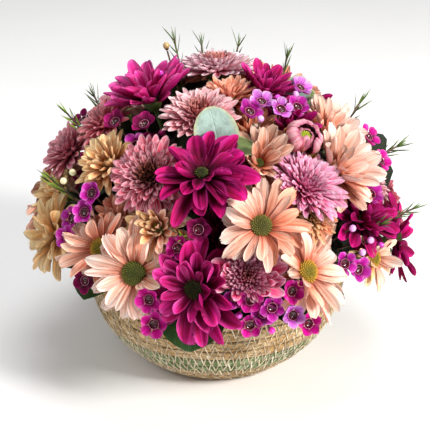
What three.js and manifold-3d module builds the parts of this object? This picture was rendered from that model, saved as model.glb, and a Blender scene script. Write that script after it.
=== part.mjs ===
// A low round basket of sewn grass strips, filled with a dome of cut flowers:
// spray chrysanthemums, waxflower, eucalyptus and a collar of broad leaves.
// Millimetres, +Z up. The origin is the middle of the basket's flat foot, and
// the front faces -Y.

import * as THREE from 'three';
import { mergeVertices } from 'three/addons/utils/BufferGeometryUtils.js';
import Module from 'manifold-3d';

const wasm = await Module();
wasm.setup();

// Basket
const RIM_RADIUS = 100;
const BASKET_HEIGHT = 76;
const FOOT_RADIUS = 55;
const WALL_BULGE = 2.4;
const WALL_THICKNESS = 6;
const STRIP_ROWS = 9;
const ROW_SPREAD = 1.2;
const STRIP_SWELL = 0.7;
const RIM_ROUNDING = 4;
const BASKET_SIDES = 24;

// Liner and foam
const FIT_GAP = 0.35;
const LINER_THICKNESS = 1;
const LINER_TOP = 70;
const BOWL_HEIGHTS = [15, 30, 50];
const LINER_SIDES = 12;
const FOAM_SHOULDER = 60;
const FOAM_REACH = 83;
const FOAM_FLATTENING = 30;
const FOAM_SIDES = 12;

// Stems and the holes they stand in
const FOCUS = new THREE.Vector3(0, 0, 60);
const STEM_RADIUS = 1.6;
const THIN_STEM_RADIUS = 1.1;
const HOLE_DEPTH = 18;
const HOLE_CLEARANCE = 0.6;
const MOUTH_CLEARANCE = 2.5;
const FORK_HEIGHT = 9;
const FORK_THINNING = 0.8;
const STEM_EASE = 0.36;
const STRAIGHT_ENOUGH = 0.995;

// Petals
const PETAL_RIDGE = 1.3;
const ROOT_THICKNESS = 1.1;
const RING_RISE = 1.9;
const PETAL_GAP = 0.45;
const SLIVER = 0.06;
const WEDGE_FILL = 0.9;
const SHOULDER = 0.66;
const BLUNT_SHOULDER = 0.9;
const RIDGE_PLACE = 0.42;
const PITCH_PLAY = 5;
const LENGTH_PLAY = 0.07;
const NECK_DEPTH = 0.3;
const EYE_INSET = 1.2;
const EYE_SIDES = 7;

// Waxflower
const WAX_PETALS = 5;
const WAX_CUP = 2.8;
const WAX_LENGTH = 7.0;
const WAX_HALF_WIDTH = 3.3;
const WAX_LIFT = 1.9;
const WAX_NECK = 4.5;
const BRANCHING_HEIGHT = 24;
const BRANCHING_STEP = 4;
const WAXFLOWER_SEED = 500;
const NEEDLE_LENGTH = 20;
const NEEDLE_RADIUS = 0.75;
const NEEDLE_COUNT = 3;
const NEEDLE_RUN = 12;
const NEEDLE_TURN = 2.4;
const NEEDLE_LEAN = 0.5;

// Leaves
const STALK_HALF_WIDTH = 1.2;
const STALK_EDGE = 0.35;
const STALK_RIDGE = 1.3;
const LEAF_FOLD = 0.07;
const BEND_START = 0.2;
const COLLAR_THICKNESS = 0.9;
const PAIR_DROOP = 50;
const SINGLE_DROOP = 110;
const ROUND_LEAF_THICKNESS = 0.8;

const DEG = Math.PI / 180;
const UP = new THREE.Vector3(0, 0, 1);

const TINTS = {
  peach: 0xf2a98a,
  apricot: 0xeeb27c,
  coral: 0xdf7a52,
  tan: 0xc98f62,
  magenta: 0x9c1166,
  pink: 0xec93a6,
  rose: 0xb4596c,
  candy: 0xe67fae,
};

const straw = new THREE.MeshStandardMaterial({ color: 0xb89a6c, roughness: 0.85, metalness: 0 });
const film = new THREE.MeshStandardMaterial({ color: 0x2c2f2a, roughness: 0.35, metalness: 0 });
const foamGreen = new THREE.MeshStandardMaterial({ color: 0x2f5a34, roughness: 0.95, metalness: 0 });
const eyeGreen = new THREE.MeshStandardMaterial({ color: 0x5d6a2a, roughness: 0.8, metalness: 0 });
const leafGreen = new THREE.MeshStandardMaterial({ color: 0x1f4a22, roughness: 0.55, metalness: 0 });
const greyGreen = new THREE.MeshStandardMaterial({ color: 0x9cb8ab, roughness: 0.65, metalness: 0 });
const waxViolet = new THREE.MeshStandardMaterial({ color: 0xb0308f, roughness: 0.5, metalness: 0 });

function petalMaterial(tint) {
  return new THREE.MeshStandardMaterial({ color: TINTS[tint], roughness: 0.6, metalness: 0 });
}

// A repeatable run of draws between -1 and 1.
function draws(seed) {
  let state = Math.imul(seed + 11, 2654435761) >>> 0;
  return () => {
    state = (state + 0x6d2b79f5) >>> 0;
    let mixed = Math.imul(state ^ (state >>> 15), state | 1);
    mixed ^= mixed + Math.imul(mixed ^ (mixed >>> 7), mixed | 61);
    return (((mixed ^ (mixed >>> 14)) >>> 0) / 4294967296) * 2 - 1;
  };
}

// A direction from its turn about +Z (0 is the front, 90 is +X) and its rise.
function heading(turn, rise) {
  const level = Math.cos(rise * DEG);
  return new THREE.Vector3(
    Math.sin(turn * DEG) * level,
    -Math.cos(turn * DEG) * level,
    Math.sin(rise * DEG),
  );
}

function place(turn, rise, reach) {
  return FOCUS.clone().addScaledVector(heading(turn, rise), reach);
}

// Three square axes whose third is the given direction.
function axesAlong(direction) {
  const n = direction.clone().normalize();
  const guide = Math.abs(n.z) > 0.985 ? new THREE.Vector3(0, 1, 0) : UP;
  const u = guide.clone().cross(n).normalize();
  const v = n.clone().cross(u);
  return { u, v, n };
}

// A surface built from points and three-sided faces.
class Surface {
  constructor() {
    this.points = [];
    this.faces = [];
  }

  point(position) {
    this.points.push(position);
    return this.points.length - 1;
  }

  face(a, b, c) {
    this.faces.push([a, b, c]);
  }

  solid() {
    const flat = new Float32Array(this.points.flatMap((p) => [p.x, p.y, p.z]));
    const mesh = new wasm.Mesh({
      numProp: 3,
      vertProperties: flat,
      triVerts: new Uint32Array(this.faces.flat()),
    });
    return new wasm.Manifold(mesh);
  }
}

// Joins two rings of {id, angle} points, the lower one first, faces outward.
function stitch(surface, lower, upper) {
  const full = 2 * Math.PI;
  const wrap = (angle) => Math.atan2(Math.sin(angle), Math.cos(angle));
  const offsets = upper.map((p) => Math.abs(wrap(p.angle - lower[0].angle)));
  const first = offsets.indexOf(Math.min(...offsets));
  const start = lower[0].angle + wrap(upper[first].angle - lower[0].angle);
  const lowAngle = (k) => lower[k % lower.length].angle + full * Math.floor(k / lower.length);
  const highAngle = (k) => start
    + ((upper[(first + k) % upper.length].angle - upper[first].angle + 2 * full) % full)
    + (k >= upper.length ? full : 0);
  let i = 0;
  let j = 0;
  while (i < lower.length || j < upper.length) {
    const a = lower[i % lower.length].id;
    const b = upper[(first + j) % upper.length].id;
    const lowerTurn = i < lower.length && (j >= upper.length || lowAngle(i + 1) <= highAngle(j + 1));
    if (lowerTurn) {
      surface.face(a, lower[(i + 1) % lower.length].id, b);
      i += 1;
    } else {
      surface.face(upper[(first + j + 1) % upper.length].id, b, a);
      j += 1;
    }
  }
}

function cap(surface, ring, upward) {
  for (let i = 1; i + 1 < ring.length; i += 1) {
    if (upward) surface.face(ring[0].id, ring[i].id, ring[i + 1].id);
    else surface.face(ring[i + 1].id, ring[i].id, ring[0].id);
  }
}

function fan(surface, ring, centre, upward) {
  ring.forEach((p, i) => {
    const next = ring[(i + 1) % ring.length].id;
    if (upward) surface.face(p.id, next, centre);
    else surface.face(next, p.id, centre);
  });
}

// Walks a tube of a few sides up a path. Returns the last ring of points.
function tube(surface, path, radii, sides) {
  const first = axesAlong(path[1].clone().sub(path[0]));
  let u = first.u;
  let previous = null;
  path.forEach((centre, k) => {
    const ahead = path[Math.min(k + 1, path.length - 1)].clone();
    const tangent = ahead.sub(path[Math.max(k - 1, 0)]).normalize();
    u = u.clone().addScaledVector(tangent, -u.dot(tangent)).normalize();
    const v = tangent.clone().cross(u);
    const ring = [];
    for (let s = 0; s < sides; s += 1) {
      const angle = (2 * Math.PI * s) / sides;
      const spot = centre.clone()
        .addScaledVector(u, radii[k] * Math.cos(angle))
        .addScaledVector(v, radii[k] * Math.sin(angle));
      ring.push({ id: surface.point(spot), angle, spot });
    }
    if (previous) stitch(surface, previous, ring);
    else cap(surface, ring, false);
    previous = ring;
  });
  return previous;
}

function closedTube(path, radii, sides) {
  const surface = new Surface();
  cap(surface, tube(surface, path, radii, sides), true);
  return surface.solid();
}

function lathe(profile, sides) {
  const outline = profile.map(([r, z]) => new THREE.Vector2(r, z));
  let geometry = new THREE.LatheGeometry(outline, sides);
  geometry.rotateX(Math.PI / 2);
  geometry.deleteAttribute('normal');
  geometry.deleteAttribute('uv');
  geometry = mergeVertices(geometry, 1e-3);
  const position = geometry.getAttribute('position');
  const surface = new Surface();
  for (let i = 0; i < position.count; i += 1) {
    surface.point(new THREE.Vector3().fromBufferAttribute(position, i));
  }
  const index = geometry.getIndex().array;
  for (let i = 0; i < index.length; i += 3) {
    const [a, b, c] = [index[i], index[i + 1], index[i + 2]];
    if (a !== b && b !== c && c !== a) surface.face(a, b, c);
  }
  const solid = surface.solid();
  if (solid.volume() > 0) return solid;
  surface.faces.forEach((f) => f.reverse());
  return surface.solid();
}

// The one body that a union leaves, without slivers, scraps or sealed hollows.
function wholeBody(solid) {
  const bodies = solid.simplify(SLIVER).decompose();
  return bodies.reduce((largest, body) => (body.volume() > largest.volume() ? body : largest));
}

function meshOf(name, solid, material) {
  const data = solid.getMesh();
  const geometry = new THREE.BufferGeometry();
  const positions = new Float32Array(data.numVert * 3);
  for (let i = 0; i < data.numVert; i += 1) {
    for (let axis = 0; axis < 3; axis += 1) {
      positions[3 * i + axis] = data.vertProperties[data.numProp * i + axis];
    }
  }
  geometry.setAttribute('position', new THREE.BufferAttribute(positions, 3));
  geometry.setIndex([...data.triVerts]);
  const mesh = new THREE.Mesh(geometry, material);
  mesh.name = name;
  return mesh;
}

// Basket, liner and foam

function wallRadius(z) {
  const open = 1 - (1 - z / BASKET_HEIGHT) ** WALL_BULGE;
  return FOOT_RADIUS + (RIM_RADIUS - FOOT_RADIUS) * open;
}

function rowHeight(row) {
  return BASKET_HEIGHT * (row / STRIP_ROWS) ** ROW_SPREAD;
}

function basketSolid() {
  const outline = [[0, 0], [FOOT_RADIUS - 1, 0]];
  for (let row = 0; row < STRIP_ROWS; row += 1) {
    const middle = (rowHeight(row) + rowHeight(row + 1)) / 2;
    outline.push([wallRadius(middle) + STRIP_SWELL, middle]);
    const join = rowHeight(row + 1);
    if (row < STRIP_ROWS - 1) outline.push([wallRadius(join) - STRIP_SWELL, join]);
  }
  outline.push([RIM_RADIUS - 1, BASKET_HEIGHT]);
  outline.push([RIM_RADIUS - WALL_THICKNESS + 1, BASKET_HEIGHT]);
  const inner = [...BOWL_HEIGHTS, BASKET_HEIGHT - RIM_ROUNDING].reverse();
  inner.forEach((z) => outline.push([wallRadius(z) - WALL_THICKNESS, z]));
  outline.push([FOOT_RADIUS - 2, WALL_THICKNESS], [0, WALL_THICKNESS]);
  return lathe(outline, BASKET_SIDES);
}

// The bowl's inside, moved in by some thickness, from the floor up to a height.
function bowlOutline(inset, top) {
  const wall = BOWL_HEIGHTS.filter((z) => z < top).map((z) => [wallRadius(z) - WALL_THICKNESS - inset, z]);
  return [
    [FOOT_RADIUS - 3 - inset, WALL_THICKNESS + inset],
    ...wall,
    [wallRadius(top) - WALL_THICKNESS - inset, top],
  ];
}

function linerSolid() {
  const outside = bowlOutline(FIT_GAP, LINER_TOP);
  const inside = bowlOutline(FIT_GAP + LINER_THICKNESS, LINER_TOP);
  const [underside, floor] = [outside[0][1], inside[0][1]];
  return lathe([[0, underside], ...outside, ...inside.reverse(), [0, floor]], LINER_SIDES);
}

function foamReach(rise) {
  return FOAM_REACH - FOAM_FLATTENING * Math.sin(rise * DEG) ** 2;
}

function foamSolid() {
  const below = bowlOutline(2 * FIT_GAP + LINER_THICKNESS, FOAM_SHOULDER - 8);
  const outline = [[0, below[0][1]], ...below];
  for (const rise of [2, 30, 58]) {
    const reach = foamReach(rise);
    outline.push([reach * Math.cos(rise * DEG), FOCUS.z + reach * Math.sin(rise * DEG)]);
  }
  outline.push([0, FOCUS.z + foamReach(90)]);
  return lathe(outline, FOAM_SIDES);
}

// Where a stem stands: the mouth of its hole in the foam and its foot.
function footing(turn, rise) {
  const out = heading(turn, rise);
  const mouth = FOCUS.clone().addScaledVector(out, foamReach(rise) + MOUTH_CLEARANCE);
  const foot = FOCUS.clone().addScaledVector(out, foamReach(rise) - HOLE_DEPTH);
  return { out, mouth, foot };
}

function holeSolid(turn, rise, radius) {
  const { out, mouth, foot } = footing(turn, rise);
  const bottom = foot.clone().addScaledVector(out, -FIT_GAP);
  const wide = radius + HOLE_CLEARANCE;
  return closedTube([bottom, mouth.clone().addScaledVector(out, 4)], [wide, wide], 4);
}

// Chrysanthemum heads. Every ring of petals is given in parts of the radius.

function ring(count, root, length, width, pitch, curl, style = 'round') {
  return { count, root, length, width, pitch, curl, style };
}

const KINDS = {
  daisy: {
    rings: [ring(10, 0.25, 0.74, 0.4, 14, -6, 'blunt'), ring(6, 0.2, 0.7, 0.4, 34, -12, 'blunt')],
    dome: 0.1,
  },
  plainDaisy: {
    rings: [ring(7, 0.24, 0.76, 0.5, 16, -6, 'blunt'), ring(5, 0.2, 0.64, 0.42, 40, -12, 'blunt')],
    dome: 0.1,
  },
  cup: {
    rings: [ring(8, 0.25, 0.8, 0.38, 30, 10, 'blunt'), ring(6, 0.2, 0.72, 0.36, 52, 6, 'blunt')],
    dome: 0.08,
  },
  double: {
    rings: [
      ring(11, 0.32, 0.68, 0.26, 6, -6, 'blunt'),
      ring(10, 0.27, 0.6, 0.24, 24, 0, 'blunt'),
      ring(8, 0.21, 0.56, 0.16, 44, 4, 'quill'),
      ring(5, 0.13, 0.38, 0.12, 64, 6, 'quill'),
    ],
    dome: 0.06,
  },
  smallDouble: {
    rings: [
      ring(8, 0.3, 0.7, 0.38, 12, -4, 'blunt'),
      ring(6, 0.23, 0.62, 0.26, 34, 0, 'quill'),
      ring(3, 0.13, 0.48, 0.24, 58, 4, 'quill'),
    ],
    dome: 0.06,
  },
  semi: {
    rings: [
      ring(8, 0.27, 0.73, 0.38, 12, -4, 'blunt'),
      ring(6, 0.2, 0.62, 0.36, 38, 4, 'blunt'),
      ring(3, 0.12, 0.46, 0.3, 62, 8, 'quill'),
    ],
    dome: 0.06,
  },
  anemone: {
    rings: [
      ring(11, 0.36, 0.78, 0.3, 42, 24, 'blunt'),
      ring(9, 0.32, 0.46, 0.12, 58, 0, 'quill'),
      ring(6, 0.19, 0.38, 0.12, 74, 0, 'quill'),
    ],
    dome: 0.1,
  },
  button: {
    rings: [ring(10, 0.52, 0.95, 0.32, 56, 66), ring(7, 0.34, 0.7, 0.2, 78, 40, 'quill')],
    dome: 0.12,
  },
};

function bloom(kind, spot, radius, face = null) {
  const [turn, rise, reach] = spot;
  const [faceTurn, faceRise] = face ?? [turn, rise];
  return { kind, turn, rise, reach, radius, faceTurn, faceRise };
}

// Each spray: its name, its tint, whether the green eye is a piece of its own,
// and its blooms. The first bloom's stem stands in the foam, and the others
// fork from it. The most open blooms come first, and later ones bend clear.
const SPRAYS = [
  ['pink_anemone_low', 'candy', false, [bloom('anemone', [9, 27, 151], 24, [4, 34])]],
  ['peach_daisy_front', 'peach', true, [bloom('daisy', [14, 39, 161], 32, [8, 38])]],
  ['magenta_daisy_front', 'magenta', false, [bloom('daisy', [-6, 52, 165], 39, [-6, 68])]],
  ['pink_mum_upper', 'pink', false, [bloom('double', [-12, 69.5, 169], 30)]],
  ['rose_mum_left', 'rose', false, [bloom('double', [-27, 51, 161], 32, [-20, 42])]],
  ['magenta_daisies_low', 'magenta', true, [
    bloom('daisy', [-6, 24, 150], 38, [-26, 18]),
    bloom('plainDaisy', [2, 38, 138], 26),
  ]],
  ['peach_daisy_low_right', 'peach', true, [bloom('daisy', [27, 26, 151], 35, [40, 24])]],
  ['peach_daisy_low_left', 'peach', false, [bloom('daisy', [-25, 26, 151], 35, [-14, 24])]],
  ['pink_mum_top', 'pink', false, [bloom('double', [180, 86, 172], 32)]],
  ['pink_mum_right', 'candy', false, [bloom('double', [35.5, 47, 160], 32, [40, 52])]],
  ['peach_daisies_right', 'peach', false, [
    bloom('daisy', [55.5, 48, 157], 36, [44, 38]),
    bloom('cup', [73, 57, 157], 32, [60, 48]),
  ]],
  ['pink_button_bud', 'candy', false, [bloom('button', [41, 58, 166], 15, [34, 46])]],
  ['magenta_daisy_upper_left', 'magenta', false, [bloom('cup', [-72, 72, 166], 37)]],
  ['peach_daisies_left', 'peach', false, [
    bloom('daisy', [-39, 30, 150], 31, [-32, 22]),
    bloom('plainDaisy', [-38, 38, 146], 24),
  ]],
  ['apricot_mum_left', 'apricot', false, [bloom('semi', [-50, 51, 160], 28, [-42, 46])]],
  ['coral_mum_top', 'coral', false, [bloom('semi', [15, 79, 165], 25)]],
  ['peach_daisies_upper', 'peach', false, [
    bloom('cup', [20, 57, 156], 31, [16, 42]),
    bloom('plainDaisy', [24, 68, 154], 24),
    bloom('plainDaisy', [26, 50, 148], 22, [20, 40]),
  ]],
  ['rose_mums_left', 'rose', false, [
    bloom('smallDouble', [-84, 58, 159], 27, [-64, 50]),
    bloom('smallDouble', [-93, 43, 156], 28, [-66, 40]),
    bloom('plainDaisy', [-112, 60, 156], 28),
  ]],
  ['tan_daisies_left', 'tan', false, [
    bloom('semi', [-69, 25, 142], 32, [-62, 16]),
    bloom('plainDaisy', [-84, 33, 143], 26, [-74, 32]),
  ]],
  ['magenta_daisies_right', 'magenta', false, [
    bloom('daisy', [57, 33, 149], 30),
    bloom('daisy', [76, 20, 148], 30, [76, 10]),
  ]],
  ['magenta_daisies_upper_right', 'magenta', false, [
    bloom('cup', [64, 77, 166], 27),
    bloom('cup', [48, 65, 160], 26, [36, 56]),
  ]],
  ['coral_mum_left', 'coral', false, [bloom('semi', [-20, 39, 153], 29, [-18, 36])]],
  ['orange_mum_right', 'coral', false, [bloom('smallDouble', [33, 39, 159], 20, [28, 34])]],
  ['apricot_daisy_right', 'apricot', false, [bloom('plainDaisy', [54, 22.5, 151], 23, [48, 12])]],
  ['pink_mums_right', 'pink', false, [
    bloom('smallDouble', [83, 38, 147], 23),
    bloom('smallDouble', [90, 62, 156], 29),
  ]],
  ['back_peach_daisies_left', 'peach', false, [
    bloom('plainDaisy', [-104, 24, 145], 40),
    bloom('plainDaisy', [-128, 46, 150], 40),
  ]],
  ['back_magenta_daisies_left', 'magenta', false, [
    bloom('plainDaisy', [-134, 22, 143], 41),
    bloom('plainDaisy', [-158, 47, 150], 41),
  ]],
  ['back_pink_mums', 'pink', false, [
    bloom('smallDouble', [-164, 22, 143], 40),
    bloom('smallDouble', [-140, 69, 160], 35),
  ]],
  ['back_peach_daisies_right', 'peach', false, [
    bloom('plainDaisy', [166, 23, 143], 41),
    bloom('plainDaisy', [172, 50, 150], 38),
  ]],
  ['back_magenta_daisies_right', 'magenta', false, [
    bloom('plainDaisy', [137, 22, 143], 41),
    bloom('plainDaisy', [143, 48, 150], 40),
  ]],
  ['back_rose_mums', 'rose', false, [
    bloom('smallDouble', [108, 22, 144], 39),
    bloom('smallDouble', [112, 47, 150], 37),
  ]],
  ['back_coral_mums', 'coral', false, [
    bloom('semi', [170, 72, 160], 35),
    bloom('semi', [118, 70, 160], 34),
  ]],
];

// The middle, facing axes and root radii of a bloom.
function headOf(flower) {
  const centre = place(flower.turn, flower.rise, flower.reach);
  const axes = axesAlong(heading(flower.faceTurn, flower.faceRise));
  const at = (angle, radius, height) => centre.clone()
    .addScaledVector(axes.u, radius * Math.cos(angle))
    .addScaledVector(axes.v, radius * Math.sin(angle))
    .addScaledVector(axes.n, height);
  return { centre, axes, at };
}

function ringAngle(layer, index, count) {
  return layer * 0.37 + (2 * Math.PI * index) / count;
}

// One petal: its two shoulders, its tip and the ridge in its middle.
function petalShape(flower, head, layer, index, lift, stretch, jitter) {
  const spec = KINDS[flower.kind].rings[layer];
  const angle = ringAngle(layer, index, spec.count);
  const pitch = (spec.pitch + lift + PITCH_PLAY * jitter.pitch) * DEG;
  const bent = pitch + spec.curl * DEG;
  const length = spec.length * flower.radius * stretch * (1 + LENGTH_PLAY * jitter.length);
  const root = spec.root * flower.radius * Math.cos(Math.PI / spec.count);
  const base = layer * RING_RISE;
  const along = (share) => {
    const straight = Math.min(share, SHOULDER) * length;
    const past = Math.max(share - SHOULDER, 0) * length;
    return [
      root + straight * Math.cos(pitch) + past * Math.cos(bent),
      base + straight * Math.sin(pitch) + past * Math.sin(bent),
    ];
  };
  const [shoulderRadius, shoulderHeight] = along(spec.style === 'blunt' ? BLUNT_SHOULDER : SHOULDER);
  const room = 2 * shoulderRadius * Math.tan(Math.PI / spec.count) * WEDGE_FILL;
  const half = Math.min(spec.width * flower.radius, room) / 2;
  const side = (radius, sideways) => Math.atan2(sideways, radius) + angle;
  const spot = (radius, height, sideways) => (
    head.at(side(radius, sideways), Math.hypot(radius, sideways), height));
  const [tipRadius, tipHeight] = along(1);
  const [ridgeRadius, ridgeHeight] = along(RIDGE_PLACE);
  return {
    blunt: spec.style === 'blunt',
    spot,
    half,
    left: spot(shoulderRadius, shoulderHeight, -half),
    right: spot(shoulderRadius, shoulderHeight, half),
    tip: spot(Math.max(tipRadius, 0.6), tipHeight, 0),
    ridge: spot(
      ridgeRadius - PETAL_RIDGE * Math.sin(pitch),
      ridgeHeight + PETAL_RIDGE * Math.cos(pitch),
      0,
    ),
    along,
    pitchAngle: pitch,
    bentAngle: bent,
  };
}

// A thick slab round a petal, used to find out what it would touch.
function petalEnvelope(petal, start, margin) {
  const surface = new Surface();
  const end = petal.blunt ? [BLUNT_SHOULDER, 1] : [1, 0.12];
  const stations = [[start, 0.62], [SHOULDER, 1], end];
  const rows = stations.map(([share, fullness], k) => {
    const [radius, height] = petal.along(share);
    const tilt = k === 2 ? petal.bentAngle : petal.pitchAngle;
    const half = petal.half * fullness + margin;
    const over = PETAL_RIDGE + margin;
    const corner = (offset, sideways) => surface.point(petal.spot(
      radius - offset * Math.sin(tilt) + (k === 2 ? margin * Math.cos(tilt) : 0),
      height + offset * Math.cos(tilt) + (k === 2 ? margin * Math.sin(tilt) : 0),
      sideways,
    ));
    return [corner(over, -half), corner(over, half), corner(-margin, half), corner(-margin, -half)];
  });
  for (let k = 0; k < 2; k += 1) {
    for (let s = 0; s < 4; s += 1) {
      const [a, b] = [rows[k][s], rows[k][(s + 1) % 4]];
      const [c, d] = [rows[k + 1][(s + 1) % 4], rows[k + 1][s]];
      surface.face(a, c, b);
      surface.face(a, d, c);
    }
  }
  surface.face(rows[0][0], rows[0][1], rows[0][2]);
  surface.face(rows[0][0], rows[0][2], rows[0][3]);
  surface.face(rows[2][0], rows[2][2], rows[2][1]);
  surface.face(rows[2][0], rows[2][3], rows[2][2]);
  return surface.solid();
}

function near(a, b) {
  return [0, 1, 2].every((axis) => a.min[axis] < b.max[axis] && b.min[axis] < a.max[axis]);
}

function touches(solid, others) {
  const box = solid.boundingBox();
  return others.some((other) => near(box, other.box) && !solid.intersect(other.solid).isEmpty());
}

function boxed(solid) {
  return { solid, box: solid.boundingBox() };
}

// The ways a petal may give way, from the least change to the most: its
// stretch and the extra pitch.
const YIELDS = [
  [1, 0], [1, 8], [1, -8], [0.92, 4], [0.88, 0], [1, 16], [0.88, 10], [0.76, 0], [0.88, 22], [0.76, 12],
  [0.64, 0], [0.76, 26], [0.64, 16], [0.5, 0], [0.5, 20], [0.38, 0], [0.38, 30], [0.28, 0],
  [0.28, 30], [0.28, -20], [0.2, 40],
];

// Chooses every petal of a bloom so that it is clear of what stands round it.
function planPetals(flower, obstacles, seed) {
  const head = headOf(flower);
  const rand = draws(seed);
  const own = [];
  return KINDS[flower.kind].rings.map((spec, layer) => {
    const petals = [];
    for (let index = 0; index < spec.count; index += 1) {
      const jitter = { pitch: rand(), length: rand() };
      let chosen = null;
      for (const [stretch, lift] of YIELDS) {
        chosen = petalShape(flower, head, layer, index, lift, stretch, jitter);
        const clearOfAll = !touches(petalEnvelope(chosen, 0.12, PETAL_GAP), obstacles);
        if (clearOfAll && !touches(petalEnvelope(chosen, 0.4, 0.1), own)) break;
      }
      petals.push(chosen);
    }
    petals.forEach((petal) => own.push(boxed(petalEnvelope(petal, 0.4, 0.1))));
    return petals;
  });
}

function petalFaces(surface, petal, low, lowNext, high, highNext, style) {
  const ridge = surface.point(petal.ridge);
  if (style === 'quill') {
    const tip = surface.point(petal.tip);
    surface.face(low, lowNext, tip);
    surface.face(ridge, high, tip);
    surface.face(ridge, tip, highNext);
    surface.face(ridge, highNext, high);
    surface.face(low, tip, high);
    surface.face(lowNext, highNext, tip);
    return;
  }
  const left = surface.point(petal.left);
  const right = surface.point(petal.right);
  surface.face(low, lowNext, right);
  surface.face(low, right, left);
  if (style === 'blunt') {
    surface.face(ridge, left, right);
  } else {
    const tip = surface.point(petal.tip);
    surface.face(left, right, tip);
    surface.face(ridge, left, tip);
    surface.face(ridge, tip, right);
  }
  surface.face(ridge, high, left);
  surface.face(ridge, right, highNext);
  surface.face(ridge, highNext, high);
  surface.face(low, left, high);
  surface.face(lowNext, highNext, right);
}

// The stem's path, from its foot in the foam, or from a fork, up to the head.
function stemPath(flower, head, fork) {
  const neck = head.at(0, 0, -NECK_DEPTH * flower.radius);
  const stand = footing(flower.turn, flower.rise);
  const mouth = fork ?? stand.mouth;
  const reach = neck.distanceTo(mouth) * STEM_EASE;
  const curve = new THREE.CubicBezierCurve3(
    mouth,
    mouth.clone().addScaledVector(stand.out, reach),
    neck.clone().addScaledVector(head.axes.n, -reach),
    neck,
  );
  if (fork) return [fork.clone().addScaledVector(stand.out, -1), curve.getPoint(0.5), neck];
  const straight = head.axes.n.dot(stand.out) > STRAIGHT_ENOUGH;
  return straight ? [stand.foot, mouth, neck] : [stand.foot, mouth, curve.getPoint(0.5), neck];
}

// A whole bloom in one skin: stem, calyx, rings of petals and domed eye.
function bloomSurface(flower, plan, fork) {
  const surface = new Surface();
  const head = headOf(flower);
  const path = stemPath(flower, head, fork);
  const radii = path.map(() => STEM_RADIUS * (fork ? FORK_THINNING : 1));
  const neckRing = tube(surface, path, radii, fork ? 3 : 4);
  let previous = neckRing.map((p) => {
    const offset = p.spot.clone().sub(head.centre);
    const angle = Math.atan2(offset.dot(head.axes.v), offset.dot(head.axes.u));
    return { id: p.id, angle };
  });
  previous.sort((a, b) => a.angle - b.angle);
  KINDS[flower.kind].rings.forEach((spec, layer) => {
    const radius = spec.root * flower.radius;
    const low = [];
    const high = [];
    for (let index = 0; index < spec.count; index += 1) {
      const angle = ringAngle(layer, index - 0.5, spec.count);
      const base = layer * RING_RISE;
      low.push({ id: surface.point(head.at(angle, radius, base - ROOT_THICKNESS / 2)), angle });
      high.push({ id: surface.point(head.at(angle, radius, base + ROOT_THICKNESS / 2)), angle });
    }
    stitch(surface, previous, low);
    for (let index = 0; index < spec.count; index += 1) {
      const next = (index + 1) % spec.count;
      if (plan) {
        const petal = plan[layer][index];
        petalFaces(surface, petal, low[index].id, low[next].id, high[index].id, high[next].id, spec.style);
      } else {
        surface.face(low[index].id, low[next].id, high[next].id);
        surface.face(low[index].id, high[next].id, high[index].id);
      }
    }
    previous = high;
  });
  const top = (KINDS[flower.kind].rings.length - 1) * RING_RISE + ROOT_THICKNESS / 2;
  const rise = flower.ownEye ? 0 : KINDS[flower.kind].dome * flower.radius;
  fan(surface, previous, surface.point(head.at(0, 0, top + rise)), true);
  return surface;
}

function eyeSolid(flower) {
  const head = headOf(flower);
  const spec = KINDS[flower.kind].rings[1];
  const radius = spec.root * flower.radius - EYE_INSET;
  const base = RING_RISE + ROOT_THICKNESS / 2 + FIT_GAP;
  const path = [0, 0.14, 0.3].map((share) => head.at(0, 0, base + share * radius));
  return closedTube(path, [radius, radius * 0.92, radius * 0.55], EYE_SIDES);
}

// The point on the first bloom's stem from which the others of a spray fork.
function forkOf(flower) {
  const { out, mouth } = footing(flower.turn, flower.rise);
  return mouth.clone().addScaledVector(out, FORK_HEIGHT);
}

function spraySolid(flowers, plans) {
  return flowers.map((flower, i) => {
    const fork = i === 0 ? null : forkOf(flowers[0]);
    return bloomSurface(flower, plans ? plans[i] : null, fork).solid();
  }).reduce((whole, piece) => whole.add(piece));
}

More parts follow.
